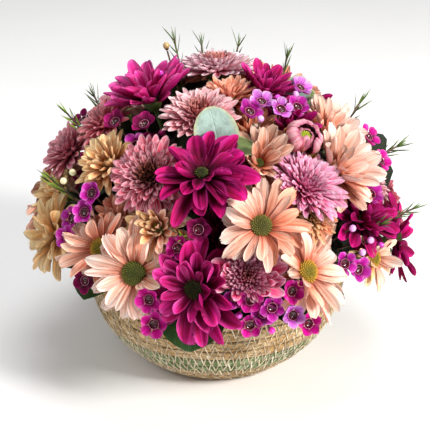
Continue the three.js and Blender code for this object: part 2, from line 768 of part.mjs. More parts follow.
// Thin blades: a section of six points at each station along a bent rib. A lead
// of earlier points makes the stalk that the blade grows from.
function bladeSolid(base, along, normal, length, width, bend, thickness, outline, lead = []) {
  const surface = new Surface();
  const side = along.clone().cross(normal).normalize();
  const spot = base.clone();
  const rows = lead.map((centre) => {
    const corner = (sideways, up) => surface.point(
      centre.clone().addScaledVector(side, sideways).addScaledVector(normal, up));
    const [wide, edge, ridge] = [STALK_HALF_WIDTH, STALK_EDGE, STALK_RIDGE];
    return [
      corner(-wide, edge), corner(0, ridge), corner(wide, edge),
      corner(wide, -edge), corner(0, -ridge), corner(-wide, -edge),
    ];
  });
  let reached = 0;
  for (let k = 0; k < outline.length; k += 1) {
    const [share, fullness] = outline[k];
    const step = share * length - reached;
    const angle = -bend * DEG * Math.max(share - BEND_START, 0);
    const dir = along.clone().multiplyScalar(Math.cos(angle)).addScaledVector(normal, Math.sin(angle));
    const out = normal.clone().multiplyScalar(Math.cos(angle)).addScaledVector(along, -Math.sin(angle));
    spot.addScaledVector(dir, step);
    reached = share * length;
    const half = Math.max(fullness * width / 2, thickness);
    const fold = fullness * width * LEAF_FOLD;
    const corner = (sideways, up) => surface.point(
      spot.clone().addScaledVector(side, sideways).addScaledVector(out, up));
    rows.push([
      corner(-half, fold + thickness / 2),
      corner(0, thickness / 2),
      corner(half, fold + thickness / 2),
      corner(half, fold - thickness / 2),
      corner(0, -thickness / 2),
      corner(-half, fold - thickness / 2),
    ]);
  }
  for (let k = 0; k + 1 < rows.length; k += 1) {
    for (let s = 0; s < 6; s += 1) {
      const [a, b] = [rows[k][s], rows[k][(s + 1) % 6]];
      const [c, d] = [rows[k + 1][(s + 1) % 6], rows[k + 1][s]];
      const flip = s === 1 || s === 4;
      if (flip) {
        surface.face(a, b, d);
        surface.face(b, c, d);
      } else {
        surface.face(a, b, c);
        surface.face(a, c, d);
      }
    }
  }
  const close = (row, front) => {
    const order = [[0, 1, 5], [1, 4, 5], [1, 2, 4], [2, 3, 4]];
    order.forEach(([a, b, c]) => (front
      ? surface.face(row[a], row[b], row[c]) : surface.face(row[c], row[b], row[a])));
  };
  close(rows[0], false);
  close(rows[rows.length - 1], true);
  const solid = surface.solid();
  if (solid.volume() > 0) return solid;
  surface.faces.forEach((f) => f.reverse());
  return surface.solid();
}

const BROAD_LEAF = [[0, 0.06], [0.2, 0.12], [0.46, 1], [0.76, 0.86], [1, 0.08]];
const ROUND_LEAF = [[0, 0.1], [0.3, 0.98], [0.66, 0.9], [1, 0.32]];

// The collar: leafy stems low in the foam, whose leaves bend down over the rim.
const COLLAR = [
  ['collar_leaf_front', [[-9, 12.5, 49, 50]]],
  ['collar_leaves_right', [[22, 13, 46, 30], [46, 18, 56, 36]]],
  ['collar_leaves_back_right', [[88, 14, 60, 38], [118, 14, 60, 38]]],
  ['collar_leaves_back', [[152, 14, 60, 38], [182, 14, 60, 38]]],
  ['collar_leaves_left', [[-118, 14, 60, 38], [-148, 14, 60, 38]]],
  ['collar_leaves_front_left', [[-46, 15, 50, 36], [-80, 18, 54, 38]]],
];

function middleTurn(leaves) {
  return leaves.reduce((sum, leaf) => sum + leaf[0], 0) / leaves.length;
}

function collarSolid(leaves) {
  const { out, mouth, foot } = footing(middleTurn(leaves), leaves[0][1]);
  const droop = leaves.length > 1 ? PAIR_DROOP : SINGLE_DROOP;
  return leaves.map(([turn, rise, length, width], k) => {
    const base = mouth.clone().addScaledVector(out, 6 - 5 * k);
    const aim = place(turn, rise + 3, 160).sub(base).normalize();
    const side = aim.clone().cross(UP).normalize();
    const lead = k === 0 ? [foot.addScaledVector(out, FIT_GAP), mouth] : [];
    return bladeSolid(base, aim, side.cross(aim), length, width, droop, COLLAR_THICKNESS, BROAD_LEAF, lead);
  }).reduce((whole, leaf) => whole.add(leaf));
}

function eucalyptusSolid(turn, rise, reach, leaves) {
  const { foot, mouth, out } = footing(turn, rise);
  const top = place(turn, rise, reach);
  const stem = closedTube([foot, mouth, top], [THIN_STEM_RADIUS, THIN_STEM_RADIUS, 0.8], 4);
  return leaves.reduce((whole, [height, aimTurn, aimRise, faceTurn, faceRise, size]) => {
    const base = FOCUS.clone().addScaledVector(out, height);
    const aim = heading(aimTurn, aimRise);
    const face = heading(faceTurn, faceRise);
    const normal = face.addScaledVector(aim, -face.dot(aim)).normalize();
    const start = base.addScaledVector(aim, -1);
    const blade = bladeSolid(
      start, aim, normal, size, size * 0.92, 24, ROUND_LEAF_THICKNESS, ROUND_LEAF,
    );
    return whole.add(blade);
  }, stem);
}

const EUCALYPTUS = [
  ['eucalyptus_upper', 2, 61, 168, [
    [160, -60, 75, -4, 30, 35], [165, 92, 2, 0, 72, 27], [162, -80, 22, -10, 60, 23],
  ]],
  ['eucalyptus_right', 86, 69, 162, [[160, 70, 75, 0, 20, 24], [154, 120, 40, 90, 60, 26]]],
  ['eucalyptus_back', -170, 56, 166, [[162, -150, 20, 180, 50, 30], [156, 130, 20, 150, 60, 30]]],
];

// Waxflower: thin forked stems that carry flowers, round buds and needles.
// Each tip is its kind and its turn, rise and reach.
const WAXFLOWERS = [
  ['waxflower_upper_right', 37, 72, [
    ['flower', 34, 71, 176], ['flower', 42, 67, 176], ['bud', 46, 70, 178],
  ]],
  ['waxflower_top_right', 73, 66, [
    ['flower', 76, 69, 178], ['needles', 106, 73, 188], ['bud', 66, 69, 176],
  ]],
  ['waxflower_upper_left', -50, 61, [['flower', -58, 60, 174], ['flower', -42, 63, 172]]],
  ['waxflower_left', -52, 33, [
    ['flower', -46, 37, 164], ['flower', -51, 29, 158], ['flower', -42, 20, 150],
    ['flower', -46, 42, 166], ['needles', -68, 39, 168], ['bud', -60, 44, 168],
  ]],
  ['waxflower_rim_left', -18, 19, [['flower', -19, 20, 154], ['flower', -18, 13, 147]]],
  ['waxflower_middle', -9, 37, [
    ['flower', -6, 39, 158], ['flower', -12, 34, 157], ['needles', -9, 40, 160],
  ]],
  ['waxflower_rim_right', 18, 19, [
    ['flower', 9, 21, 156], ['flower', 9, 14, 150], ['flower', 21, 22, 156],
    ['flower', 26, 12, 150], ['flower', 15, 18.5, 155], ['flower', 21, 15.5, 153],
    ['bud', 15, 12, 150],
  ]],
  ['waxflower_right', 50, 28, [
    ['flower', 41, 25, 153], ['flower', 61, 38, 163], ['bud', 46, 33, 160], ['needles', 76, 27, 171],
  ]],
  ['waxflower_far_right', 98, 44, [
    ['flower', 82, 48, 172], ['flower', 77, 42, 169],
    ['needles', 88, 40, 180], ['needles', 90, 54, 183],
  ]],
  ['waxflower_top', -80, 84, [
    ['needles', -146, 72, 194], ['needles', 160, 75, 187], ['bud', -70, 76, 182],
  ]],
  ['waxflower_far_left', -78, 51, [
    ['needles', -90, 51, 181], ['flower', -102, 50, 166], ['needles', -101, 57, 177],
  ]],
  ['waxflower_back_left', -142, 38, [['flower', -144, 36, 162], ['flower', -136, 33, 160]]],
  ['waxflower_back_right', 128, 38, [['flower', 126, 36, 162], ['flower', 117, 35, 160]]],
];

function waxFlowerSolid(centre, path) {
  const surface = new Surface();
  const { u, v, n } = axesAlong(centre.clone().sub(FOCUS));
  const at = (angle, radius, height) => centre.clone()
    .addScaledVector(u, radius * Math.cos(angle))
    .addScaledVector(v, radius * Math.sin(angle))
    .addScaledVector(n, height);
  const neck = at(0, 0, -WAX_NECK);
  const radii = path.map(() => THIN_STEM_RADIUS);
  const stalk = tube(surface, [...path, neck], [...radii, 0.9], stemSides(path));
  const previous = stalk.map((p) => {
    const offset = p.spot.clone().sub(centre);
    return { id: p.id, angle: Math.atan2(offset.dot(v), offset.dot(u)) };
  });
  previous.sort((a, b) => a.angle - b.angle);
  const low = [];
  const high = [];
  for (let k = 0; k < WAX_PETALS; k += 1) {
    const angle = (2 * Math.PI * (k - 0.5)) / WAX_PETALS;
    low.push({ id: surface.point(at(angle, WAX_CUP, -0.5)), angle });
    high.push({ id: surface.point(at(angle, WAX_CUP, 0.6)), angle });
  }
  stitch(surface, previous, low);
  for (let k = 0; k < WAX_PETALS; k += 1) {
    const angle = (2 * Math.PI * k) / WAX_PETALS;
    const outer = (share, sideways, lift) => {
      const radius = WAX_CUP * 0.8 + share * WAX_LENGTH;
      return at(angle + Math.atan2(sideways, radius), Math.hypot(radius, sideways), lift);
    };
    const left = surface.point(outer(0.85, -WAX_HALF_WIDTH, WAX_LIFT));
    const right = surface.point(outer(0.85, WAX_HALF_WIDTH, WAX_LIFT));
    const next = (k + 1) % WAX_PETALS;
    surface.face(low[k].id, low[next].id, right);
    surface.face(low[k].id, right, left);
    surface.face(high[k].id, left, right);
    surface.face(high[k].id, right, high[next].id);
    surface.face(low[k].id, left, high[k].id);
    surface.face(low[next].id, high[next].id, right);
  }
  fan(surface, high, surface.point(at(0, 0, -1.6)), true);
  return surface.solid();
}

function budSolid(centre, path) {
  const out = centre.clone().sub(FOCUS).normalize();
  const swell = [-3, 0, 2.4].map((h) => centre.clone().addScaledVector(out, h));
  const radii = path.map(() => THIN_STEM_RADIUS);
  return closedTube([...path, ...swell], [...radii, 0.9, 2.5, 0.9], 4);
}

function needleSolid(root, aim, length) {
  const surface = new Surface();
  const { u, v, n } = axesAlong(aim);
  const foot = [0, 1, 2].map((k) => surface.point(root.clone()
    .addScaledVector(u, NEEDLE_RADIUS * Math.cos((k * 2 * Math.PI) / 3))
    .addScaledVector(v, NEEDLE_RADIUS * Math.sin((k * 2 * Math.PI) / 3))));
  const end = surface.point(root.clone().addScaledVector(n, length));
  surface.face(foot[2], foot[1], foot[0]);
  foot.forEach((p, k) => surface.face(p, foot[(k + 1) % 3], end));
  return surface.solid();
}

function needlesSolid(tip, path, rand) {
  const { u, v, n } = axesAlong(tip.clone().sub(path[path.length - 1]));
  const radii = path.map(() => THIN_STEM_RADIUS);
  let whole = closedTube([...path, tip], [...radii, 0.7], stemSides(path));
  for (let k = 0; k < NEEDLE_COUNT; k += 1) {
    const angle = k * NEEDLE_TURN;
    const side = u.clone().multiplyScalar(Math.cos(angle)).addScaledVector(v, Math.sin(angle));
    const base = tip.clone().addScaledVector(n, -3 - NEEDLE_RUN * (k / NEEDLE_COUNT));
    const aim = side.multiplyScalar(NEEDLE_LEAN + 0.12 * rand()).add(n).normalize();
    whole = whole.add(needleSolid(base, aim, NEEDLE_LENGTH * (0.8 + 0.15 * rand())));
  }
  return whole;
}

// A path with a foot in the foam is a main stem, and any other is a side branch.
function stemSides(path) {
  return path.length > 1 ? 4 : 3;
}

function waxflowerSolid(turn, rise, tips, seed) {
  const rand = draws(seed);
  const { foot, mouth, out } = footing(turn, rise);
  const split = mouth.clone().addScaledVector(out, BRANCHING_HEIGHT);
  const makers = { flower: waxFlowerSolid, bud: budSolid, needles: needlesSolid };
  const pieces = tips.map(([kind, tipTurn, tipRise, reach], k) => {
    const fork = split.clone().addScaledVector(out, 1 - BRANCHING_STEP * k);
    const path = k === 0 ? [foot, mouth, split] : [fork];
    return makers[kind](place(tipTurn, tipRise, reach), path, rand);
  });
  return pieces.reduce((whole, piece) => whole.add(piece));
}

// The whole arrangement

const arrangement = new THREE.Group();
const holder = new THREE.Group();
const foliage = new THREE.Group();
const blooms = new THREE.Group();
arrangement.add(holder, foliage, blooms);

const made = [];

function keep(group, name, shape, material) {
  const solid = wholeBody(shape);
  made.push(boxed(solid));
  group.add(meshOf(name, solid, material));
}

const holes = [
  ...SPRAYS.map(([, , , [first]]) => holeSolid(first.turn, first.rise, STEM_RADIUS)),
  ...COLLAR.map(([, leaves]) => holeSolid(middleTurn(leaves), leaves[0][1], STEM_RADIUS)),
  ...EUCALYPTUS.map(([, turn, rise]) => holeSolid(turn, rise, THIN_STEM_RADIUS)),
  ...WAXFLOWERS.map(([, turn, rise]) => holeSolid(turn, rise, THIN_STEM_RADIUS)),
];

keep(holder, 'basket', basketSolid(), straw);
keep(holder, 'liner', linerSolid(), film);
keep(holder, 'foam', holes.reduce((whole, hole) => whole.subtract(hole), foamSolid()), foamGreen);
COLLAR.forEach(([name, leaves]) => keep(foliage, name, collarSolid(leaves), leafGreen));
EUCALYPTUS.forEach(([name, ...shape]) => keep(foliage, name, eucalyptusSolid(...shape), greyGreen));
WAXFLOWERS.forEach(([name, turn, rise, tips], i) => {
  keep(foliage, name, waxflowerSolid(turn, rise, tips, WAXFLOWER_SEED + i), waxViolet);
});

const bare = SPRAYS.map(([, , , flowers]) => boxed(spraySolid(flowers, null)));
SPRAYS.forEach(([name, tint, ownEye, flowers], i) => {
  const standing = bare.filter((_, other) => other !== i);
  const plans = [];
  flowers[0].ownEye = ownEye;
  flowers.forEach((flower, k) => {
    const siblings = flowers.filter((_, other) => other !== k)
      .map((other, at) => boxed(bloomSurface(other, plans[at] ?? null, null).solid()));
    const obstacles = [...made, ...standing, ...siblings];
    plans.push(planPetals(flower, obstacles, 10 * i + k));
  });
  keep(blooms, name, spraySolid(flowers, plans), petalMaterial(tint));
  if (ownEye) keep(blooms, `${name}_eye`, eyeSolid(flowers[0]), eyeGreen);
});

export default arrangement;
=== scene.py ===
"""Looks of a low sewn-grass basket filled with a dome of cut flowers.

Lengths are millimetres while a piece is made and metres in its mesh. The
origin is the middle of the basket's foot, +Z is up and -Y is the front. A spot
is a turn from the front to the right and a rise from level, both in degrees,
and a reach from the middle of the rim, where all the stems meet.
"""

import math
from dataclasses import dataclass

import bpy
import numpy as np
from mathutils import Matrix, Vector
from mathutils.bvhtree import BVHTree


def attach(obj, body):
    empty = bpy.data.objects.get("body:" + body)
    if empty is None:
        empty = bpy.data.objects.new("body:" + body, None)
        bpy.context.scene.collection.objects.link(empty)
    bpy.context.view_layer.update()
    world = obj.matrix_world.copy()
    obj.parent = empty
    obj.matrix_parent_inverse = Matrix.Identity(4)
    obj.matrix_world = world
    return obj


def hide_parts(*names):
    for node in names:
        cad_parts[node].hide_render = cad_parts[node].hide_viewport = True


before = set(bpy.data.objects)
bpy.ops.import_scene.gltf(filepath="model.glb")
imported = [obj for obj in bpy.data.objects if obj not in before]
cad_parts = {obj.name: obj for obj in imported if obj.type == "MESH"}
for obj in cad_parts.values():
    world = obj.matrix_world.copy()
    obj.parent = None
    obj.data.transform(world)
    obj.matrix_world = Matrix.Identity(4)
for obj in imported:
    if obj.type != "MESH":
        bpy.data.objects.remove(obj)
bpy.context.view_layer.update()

MM = 0.001
DEG = math.pi / 180
FULL_TURN = 2 * math.pi
UP = np.array([0.0, 0.0, 1.0])

# Basket
RIM_RADIUS = 100.0
BASKET_HEIGHT = 76.0
FOOT_RADIUS = 55.0
WALL_BULGE = 2.4
WALL_THICKNESS = 6.0
STRIP_ROWS = 9
ROW_SPREAD = 1.2
STRIP_SWELL = 0.7
GREEN_ROWS = (3, 4)
STRANDS_IN_STRIP = 5
STITCH_PITCH = 8.6
STITCH_THICKNESS = 0.3
LOOSE_FIBRES = 220
FIBRE_THICKNESS = 0.12

# Stems and the foam they stand in
FOCUS = np.array([0.0, 0.0, 60.0])
FOAM_REACH = 83.0
FOAM_FLATTENING = 30.0
HOLE_DEPTH = 18.0
MOUTH_CLEARANCE = 2.5
FORK_HEIGHT = 9.0
STEM_RADIUS = 1.6
THIN_STEM_RADIUS = 1.0
NECK_DEPTH = 0.3
STEM_EASE = 0.36
LOW_STEM = 125.0
INNER_REACH = 131.0

# Where each sort of piece starts its own run of chances
BASKET_SEED = 71
WAX_SEED = 500
WAX_LEAF_SEED = 540
WAX_GAP_SEED = 580
GAP_SEED = 700
COLLAR_SEED = 900
EUCALYPTUS_SEED = 950

# Which of a piece's materials a face wears
PETAL, GREEN, FLORET, GLOSS = range(4)


def unit(vector):
    return vector / np.linalg.norm(vector)


def square_to(line, direction):
    """A direction tilted until it is square to a line."""
    return unit(direction - line * direction.dot(line))


def heading(turn, rise):
    level = math.cos(rise * DEG)
    return np.array([math.sin(turn * DEG) * level, -math.cos(turn * DEG) * level, math.sin(rise * DEG)])


def place(turn, rise, reach):
    return FOCUS + heading(turn, rise) * reach


def axes_along(direction):
    """Two directions square to a line, and the line's own."""
    n = unit(direction)
    guide = np.array([0.0, 1.0, 0.0]) if abs(n[2]) > 0.985 else UP
    u = unit(np.cross(guide, n))
    return u, np.cross(n, u), n


def swung(u, v, angle):
    """The direction u turned toward v."""
    return math.cos(angle) * u + math.sin(angle) * v


def fanned(u, v, angles):
    """The direction u turned toward v by each of the angles."""
    return np.outer(np.cos(angles), u) + np.outer(np.sin(angles), v)


def ring_angles(count):
    return FULL_TURN * np.arange(count) / count


def columns(*values):
    return np.column_stack(np.broadcast_arrays(*values))


def linear(colour):
    """A display colour, written rrggbb, as linear light."""
    share = np.array([int(colour[k:k + 2], 16) for k in (0, 2, 4)]) / 255
    return np.where(share <= 0.04045, share / 12.92, ((share + 0.055) / 1.055) ** 2.4)


def mix(a, b, share):
    return a + (b - a) * share


def smooth(low, high, value):
    share = np.clip((value - low) / (high - low), 0, 1)
    return share * share * (3 - 2 * share)


def new_object(name, data):
    obj = bpy.data.objects.new(name, data)
    bpy.context.scene.collection.objects.link(obj)
    return obj


class Skin:
    """Points and faces of one piece, with a tint and a mark at each point.

    A tint is linear red, green and blue, and how strong the streaks are. A mark
    is how far across and along its petal a point lies, and the petal's own number.
    """

    def __init__(self):
        self.points = []
        self.tints = []
        self.marks = []
        self.faces = {4: [], 3: []}
        self.count = 0

    def add(self, points, quads, tints, marks, stuff, triangles=()):
        points = np.asarray(points, float).reshape(-1, 3)
        size = len(points)
        self.points.append(points)
        self.tints.append(np.broadcast_to(np.asarray(tints, float), (size, 4)))
        self.marks.append(np.broadcast_to(np.asarray(marks, float), (size, 3)))
        for faces, sides in ((quads, 4), (triangles, 3)):
            faces = np.asarray(faces, int).reshape(-1, sides)
            self.faces[sides].append(np.column_stack([faces + self.count, np.full(len(faces), stuff)]))
        self.count += size

    def piece(self, name, materials):
        points = np.concatenate(self.points) * MM
        quads, triangles = (np.concatenate(faces) for faces in self.faces.values())
        mesh = bpy.data.meshes.new(name)
        faces = quads[:, :4].tolist() + triangles[:, :3].tolist()
        mesh.from_pydata(points.tolist(), [], faces, shade_flat=False)
        worn = np.concatenate([quads[:, 4], triangles[:, 3]])
        kinds = np.unique(worn)
        for kind in kinds:
            mesh.materials.append(materials[kind])
        mesh.polygons.foreach_set("material_index", np.searchsorted(kinds, worn))
        for layer, kind, part, values in (
            ("tint", "FLOAT_COLOR", "color", self.tints), ("mark", "FLOAT_VECTOR", "vector", self.marks),
        ):
            data = mesh.attributes.new(layer, kind, "POINT").data
            data.foreach_set(part, np.concatenate(values).ravel())
        mesh.validate()
        obj = new_object(name, mesh)
        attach(obj, "root")
        return obj


def grid_faces(rows, width, wrapped=False):
    """Quads of a grid of points, wound so that along x across points outward."""
    i, j = np.meshgrid(np.arange(rows - 1), np.arange(width - (not wrapped)), indexing="ij")
    i, j = i.ravel(), j.ravel()
    k = (j + 1) % width
    return np.column_stack([i * width + j, (i + 1) * width + j, (i + 1) * width + k, i * width + k])


def round_marks(angles, run, number):
    """Marks of rings of points, one ring for each step of the run."""
    return columns(np.tile(np.cos(angles), len(run)), run.repeat(len(angles)), number)


def four_sided(rows):
    """Faces of a rod of four sides with both its ends closed."""
    last = 4 * rows - 1
    return np.vstack([grid_faces(rows, 4, True), [[0, 1, 2, 3], [last, last - 1, last - 2, last - 3]]])


def tube(skin, path, radii, sides, tint, stuff=GREEN, capped=True):
    """A round tube along a path, its first end closed, and its last if capped."""
    path = np.asarray(path, float)
    ahead = np.vstack([path[1:], path[-1:]]) - np.vstack([path[:1], path[:-1]])
    u = axes_along(path[1] - path[0])[0]
    angles = ring_angles(sides)
    rings = []
    for centre, tangent, radius in zip(path, ahead, np.broadcast_to(radii, len(path))):
        tangent = unit(tangent)
        u = square_to(tangent, u)
        rings.append(centre + radius * fanned(u, np.cross(tangent, u), angles))
    rows = len(path)
    start, end = rows * sides, rows * sides + 1
    here = np.arange(sides)
    after = (here + 1) % sides
    caps = [columns(after, here, start)]
    if capped:
        last = (rows - 1) * sides
        caps.append(columns(last + here, last + after, end))
    marks = np.vstack([round_marks(angles, np.linspace(0, 1, rows), 0.5), [[0, 0, 0.5], [0, 1, 0.5]]])
    points = np.concatenate([*rings, path[:1], path[-1:]])
    skin.add(points, grid_faces(rows, sides, True)[:, ::-1], tint, marks, stuff, np.concatenate(caps))


def turned(skin, centre, axes, profile, sides, tints, stuff, number=0.5):
    """A surface turned about the third axis from (radius, height) points, going up outside."""
    u, v, n = axes
    profile = np.asarray(profile, float)
    angles = ring_angles(sides)
    points = centre + profile[:, None, :1] * fanned(u, v, angles)[None] + profile[:, None, 1:] * n
    tints = np.asarray(tints, float)
    if tints.ndim == 2:
        tints = tints.repeat(sides, axis=0)
    marks = round_marks(angles, np.linspace(0, 1, len(profile)), number)
    skin.add(points, grid_faces(len(profile), sides, True)[:, ::-1], tints, marks, stuff)


def blade(spine, side, over, half, across, rise):
    """Points of a petal or leaf: each row of its spine spread sideways and raised off flat."""
    return (
        spine[:, None]
        + side * (half[:, None] * across)[..., None]
        + over * (half[:, None] * rise)[..., None]
    )


def blade_marks(across, span, number):
    return np.stack(np.broadcast_arrays(across[None], span[:, None], number), axis=2).reshape(-1, 3)


# Colours of petals: at the root, in the middle, at the tip, on the edge (own pale
# rim and painted highlight) and on the back, and how strong the streaks are.
PALETTES = {
    "peach": ("cc6442 f4b89e fee0ce ffeadc f6c8b4", 1.4),
    "peach_pale": ("d8805e faccb8 ffeee4 fff4ee fad8cc", 1.3),
    "salmon": ("c45434 f49979 ffc8ae ffdecc f3ac92", 1.4),
    "apricot": ("c0682e eeb078 fee4b4 feeac4 f0c092", 1.0),
    "coral": ("be5236 e78c6a f8c0a0 fcd0b6 eca686", 1.0),
    "tan": ("c67a44 f6ce94 fde8bc fdeecc f4ce9c", 1.1),
    # Magenta in lit and shaded copies: magenta_lit and the brightest copy carry painted light, and the
    # darkest copy carries painted shade.
    "magenta": ("3a0018 82003d ce067a f244b2 980054", 1.3),
    "magenta_lit": ("480022 ac025c ea34a4 fd80d6 b80c70", 1.2),
    "magenta_brightly_lit": ("56002c c2066e f448b2 ff96de ca1480", 1.2),
    "magenta_in_shade": ("24000e 4e0024 7c0040 aa0e68 5a002e", 1.4),
    "pink": ("d43056 fb849c ffd2d6 fff2f2 fab0be", 0.8),
    "pink_pale": ("f2648a ffb2c6 ffeef3 fffbfd ffd6e1", 0.7),
    "rose": ("96042c ed486e fc9eb4 ffe4ea e86482", 0.8),
    "dusk": ("960c32 e86278 faa6ae ffdadc de6a7e", 0.8),
    "mauve": ("8c1438 e0728a f6b2be ffdae0 de7a90", 0.8),
    "candy": ("d61c68 f874b2 ffc0de ffeaf4 fa9cca", 0.9),
    "striped": ("d20a60 ff64a6 ffcae2 fffafd fda2ca", 1.2),
    "quill": ("e43676 ff76ac ffbcd6 ffe8f0 fc88b6", 0.2),
    "quill_heart": ("b83854 f38092 ffcccc ffe6e2 ea8290", 0.3),
    "heart_dark": ("1e0804 542216 964c3e be745c 5a261c", 0.8),
    "heart_rosy": ("96162e d25860 ee948c fcc8ba ce6064", 0.8),
    "bud": ("aa883a d4807a f7c4d0 ce4678 d88c80", 1.1),
    "bud_inside": ("a03854 be5472 de94ac f8d2de d4728c", 1.0),
    "bract": ("766822 b0883e ce8668 d6a65c ba8c46", 1.0),
    "violet": ("780254 b81296 d642c0 f49ce6 bc28a2", 0.6),
    "wax_light": ("aa2ca0 d26cd2 eca8ee fadcfa d67cd8", 0.5),
    "wax_dark": ("400020 760642 a00e62 c83a8c 700842", 0.6),
    "wax_bright": ("8c0054 cc068e e424aa fa82d4 c4108a", 0.6),
    "cream": ("96a046 cece78 eee8ba f4f0ce bebe6e", 0.4),
    "husk": ("604628 967448 ba9864 c4a676 8c6c46", 0.6),
}
COLOURS = {
    name: ([linear(colour) for colour in colours.split()], streak)
    for name, (colours, streak) in PALETTES.items()
}
STEM_GREEN = (*linear("4a602c"), 0.6)
DARK_STEM = (*linear("343e1e"), 0.6)
LEAF_STEM = (*linear("706046"), 0.6)
TWIG = (*linear("543a26"), 0.8)
NEEDLE_GREEN = (*linear("587030"), 0.6)
NEEDLE_DARK = (*linear("344222"), 0.6)
LIME_NEEDLE = (*linear("92b03a"), 0.6)
CALYX_GREEN = (*linear("54622c"), 0.6)
# Leaves in the depths: a near-black green that is leaf colour and painted shade together, and a dark wine
# that is painted shade standing for petals in shadow.
LEAF_GREEN_AND_PAINTED_SHADE = (*linear("16240e"), 0.6)
WINE_PAINTED_SHADE = (*linear("280410"), 0.6)


@dataclass
class Ring:
    """One ring of petals. Lengths are parts of the bloom's radius, base is in millimetres,
    and pitch and curl are degrees. share is 0 at a spiral's heart and 1 at the rim."""

    count: int
    root: float
    length: float
    width: float
    pitch: float
    curl: float
    base: float
    cup: float = 0.3
    furrow: float = 0.07
    tip: str = "round"
    fine: bool = True
    palette: str = None
    inside: str = None
    loose: float = 1.0
    share: float = 1.0


# How each measure of a spiral's petals grows from the heart to the rim, as a power
SPIRAL_GROWTH = {
    "root": 1, "length": 1.4, "width": 1.15, "pitch": 1.25, "curl": 1, "base": 1.6, "cup": 1,
}
GOLDEN_TURN = math.pi * (3 - math.sqrt(5))


@dataclass
class Spiral:
    """Petals set as seeds are set, each a step between the heart's petal and the rim's."""

    count: int
    heart: Ring
    rim: Ring
    fine_from: float

    def petal(self, share):
        measures = {
            name: mix(getattr(self.heart, name), getattr(self.rim, name), share**power)
            for name, power in SPIRAL_GROWTH.items()
        }
        return Ring(
            1, **measures, furrow=0.0, tip=self.rim.tip if share > 0.6 else self.heart.tip,
            fine=share > self.fine_from, palette=self.rim.palette, share=share,
        )


@dataclass
class Kind:
    """A form of bloom: its rings from the outermost in, how much of it is the eye, the spiral
    inside the rings, and between which shares the spiral takes on the heart's colours."""

    rings: list
    eye: float
    spiral: Spiral = None
    core: tuple = (0.3, 0.66)
    eye_height: float = None

    def petals(self, rng):
        """Each petal's shape and its angle round the bloom, from the outermost in."""
        for layer, ring in enumerate(self.rings):
            offset = layer * 0.37 + rng.uniform(0, 1)
            for k in range(ring.count):
                yield ring, offset + FULL_TURN * (k + 0.12 * rng.uniform(-1, 1)) / ring.count
        if self.spiral:
            for k in range(self.spiral.count, 0, -1):
                yield self.spiral.petal(math.sqrt(k / self.spiral.count)), k * GOLDEN_TURN


KINDS = {
    "daisy": Kind([
        Ring(17, 0.20, 0.80, 0.28, 6, -14, 0.0, 0.2, 0.14, "notched", loose=2.0),
        Ring(14, 0.18, 0.72, 0.265, 22, -16, 1.9, 0.26, 0.13, "round", loose=2.2),
    ], 0.25),
    "full": Kind([
        Ring(15, 0.20, 0.81, 0.36, 8, -10, 0.0, 0.36, 0.15, "blunt", loose=1.4),
        Ring(13, 0.17, 0.73, 0.33, 24, -10, 1.9, 0.42, 0.15, "blunt", loose=1.5),
        Ring(9, 0.12, 0.54, 0.26, 46, 4, 3.2, 0.56, 0.1, "blunt", loose=1.4),
    ], 0.12),
    "wide": Kind([
        Ring(15, 0.20, 0.78, 0.36, -4, -6, 0.0, 0.36, 0.15, "blunt", loose=1.4),
        Ring(13, 0.17, 0.70, 0.34, 10, -8, 1.9, 0.42, 0.15, "blunt", loose=1.5),
        Ring(9, 0.12, 0.52, 0.27, 32, 2, 3.2, 0.56, 0.1, "blunt", loose=1.5),
    ], 0.12),
    "cup": Kind([
        Ring(14, 0.20, 0.84, 0.32, 24, 6, 0.0, 0.3, 0.13, "notched"),
        Ring(12, 0.17, 0.78, 0.30, 42, 4, 1.9, 0.36, 0.13, "blunt"),
        Ring(8, 0.11, 0.58, 0.23, 60, 10, 3.2, 0.46, 0.1, "blunt"),
    ], 0.1),
    "double": Kind([], 0.05, Spiral(
        184,
        Ring(1, 0.03, 0.14, 0.045, 86, 16, 5.4, 0.9, 0.0, "point"),
        Ring(1, 0.34, 0.66, 0.185, 2, 4, 0.0, 0.36, 0.0, "blunt"),
        0.74,
    )),
    "small_double": Kind([], 0.05, Spiral(
        92,
        Ring(1, 0.04, 0.20, 0.08, 84, 18, 4.6, 0.9, 0.0, "point"),
        Ring(1, 0.30, 0.70, 0.21, 4, 2, 0.0, 0.45, 0.0, "blunt"),
        0.68,
    )),
    "semi": Kind([
        Ring(16, 0.27, 0.73, 0.23, 6, -6, 0.0, 0.32, 0.07, "blunt"),
        Ring(14, 0.24, 0.67, 0.22, 20, 0, 1.2, 0.36, 0.07, "notched"),
        Ring(12, 0.20, 0.58, 0.20, 35, 8, 2.3, 0.42, 0.06, "blunt"),
        Ring(9, 0.15, 0.47, 0.18, 50, 14, 3.2, 0.5, 0.0, "blunt"),
        Ring(7, 0.09, 0.34, 0.14, 67, 16, 4.0, 0.6, 0.0, "blunt", False),
    ], 0.06),
    "anemone": Kind([
        Ring(15, 0.44, 0.84, 0.34, 16, 58, 0.0, 0.4, 0.08, "blunt"),
        Ring(14, 0.42, 0.72, 0.30, 34, 54, 1.0, 0.45, 0.08, "blunt"),
    ], 0.05, Spiral(
        150,
        Ring(1, 0.03, 0.18, 0.045, 86, 20, 4.6, 1.0, 0.0, "blunt"),
        Ring(1, 0.42, 0.58, 0.11, 34, 34, 2.0, 0.7, 0.0, "blunt", palette="quill"),
        2.0,
    ), (0.24, 0.5)),
    "button": Kind([
        Ring(15, 0.44, 0.86, 0.36, 14, 96, -1.6, 0.3, 0.05, "blunt", palette="bract", loose=0.6),
        Ring(17, 0.36, 1.60, 0.50, 32, 148, -0.8, 0.22, 0.05, inside="bud_inside", loose=0.35),
        Ring(14, 0.34, 1.06, 0.34, 62, 92, 0.8, 0.4, 0.05, "blunt", palette="bud_inside", loose=0.5),
    ], 0.4, eye_height=10.6),
}

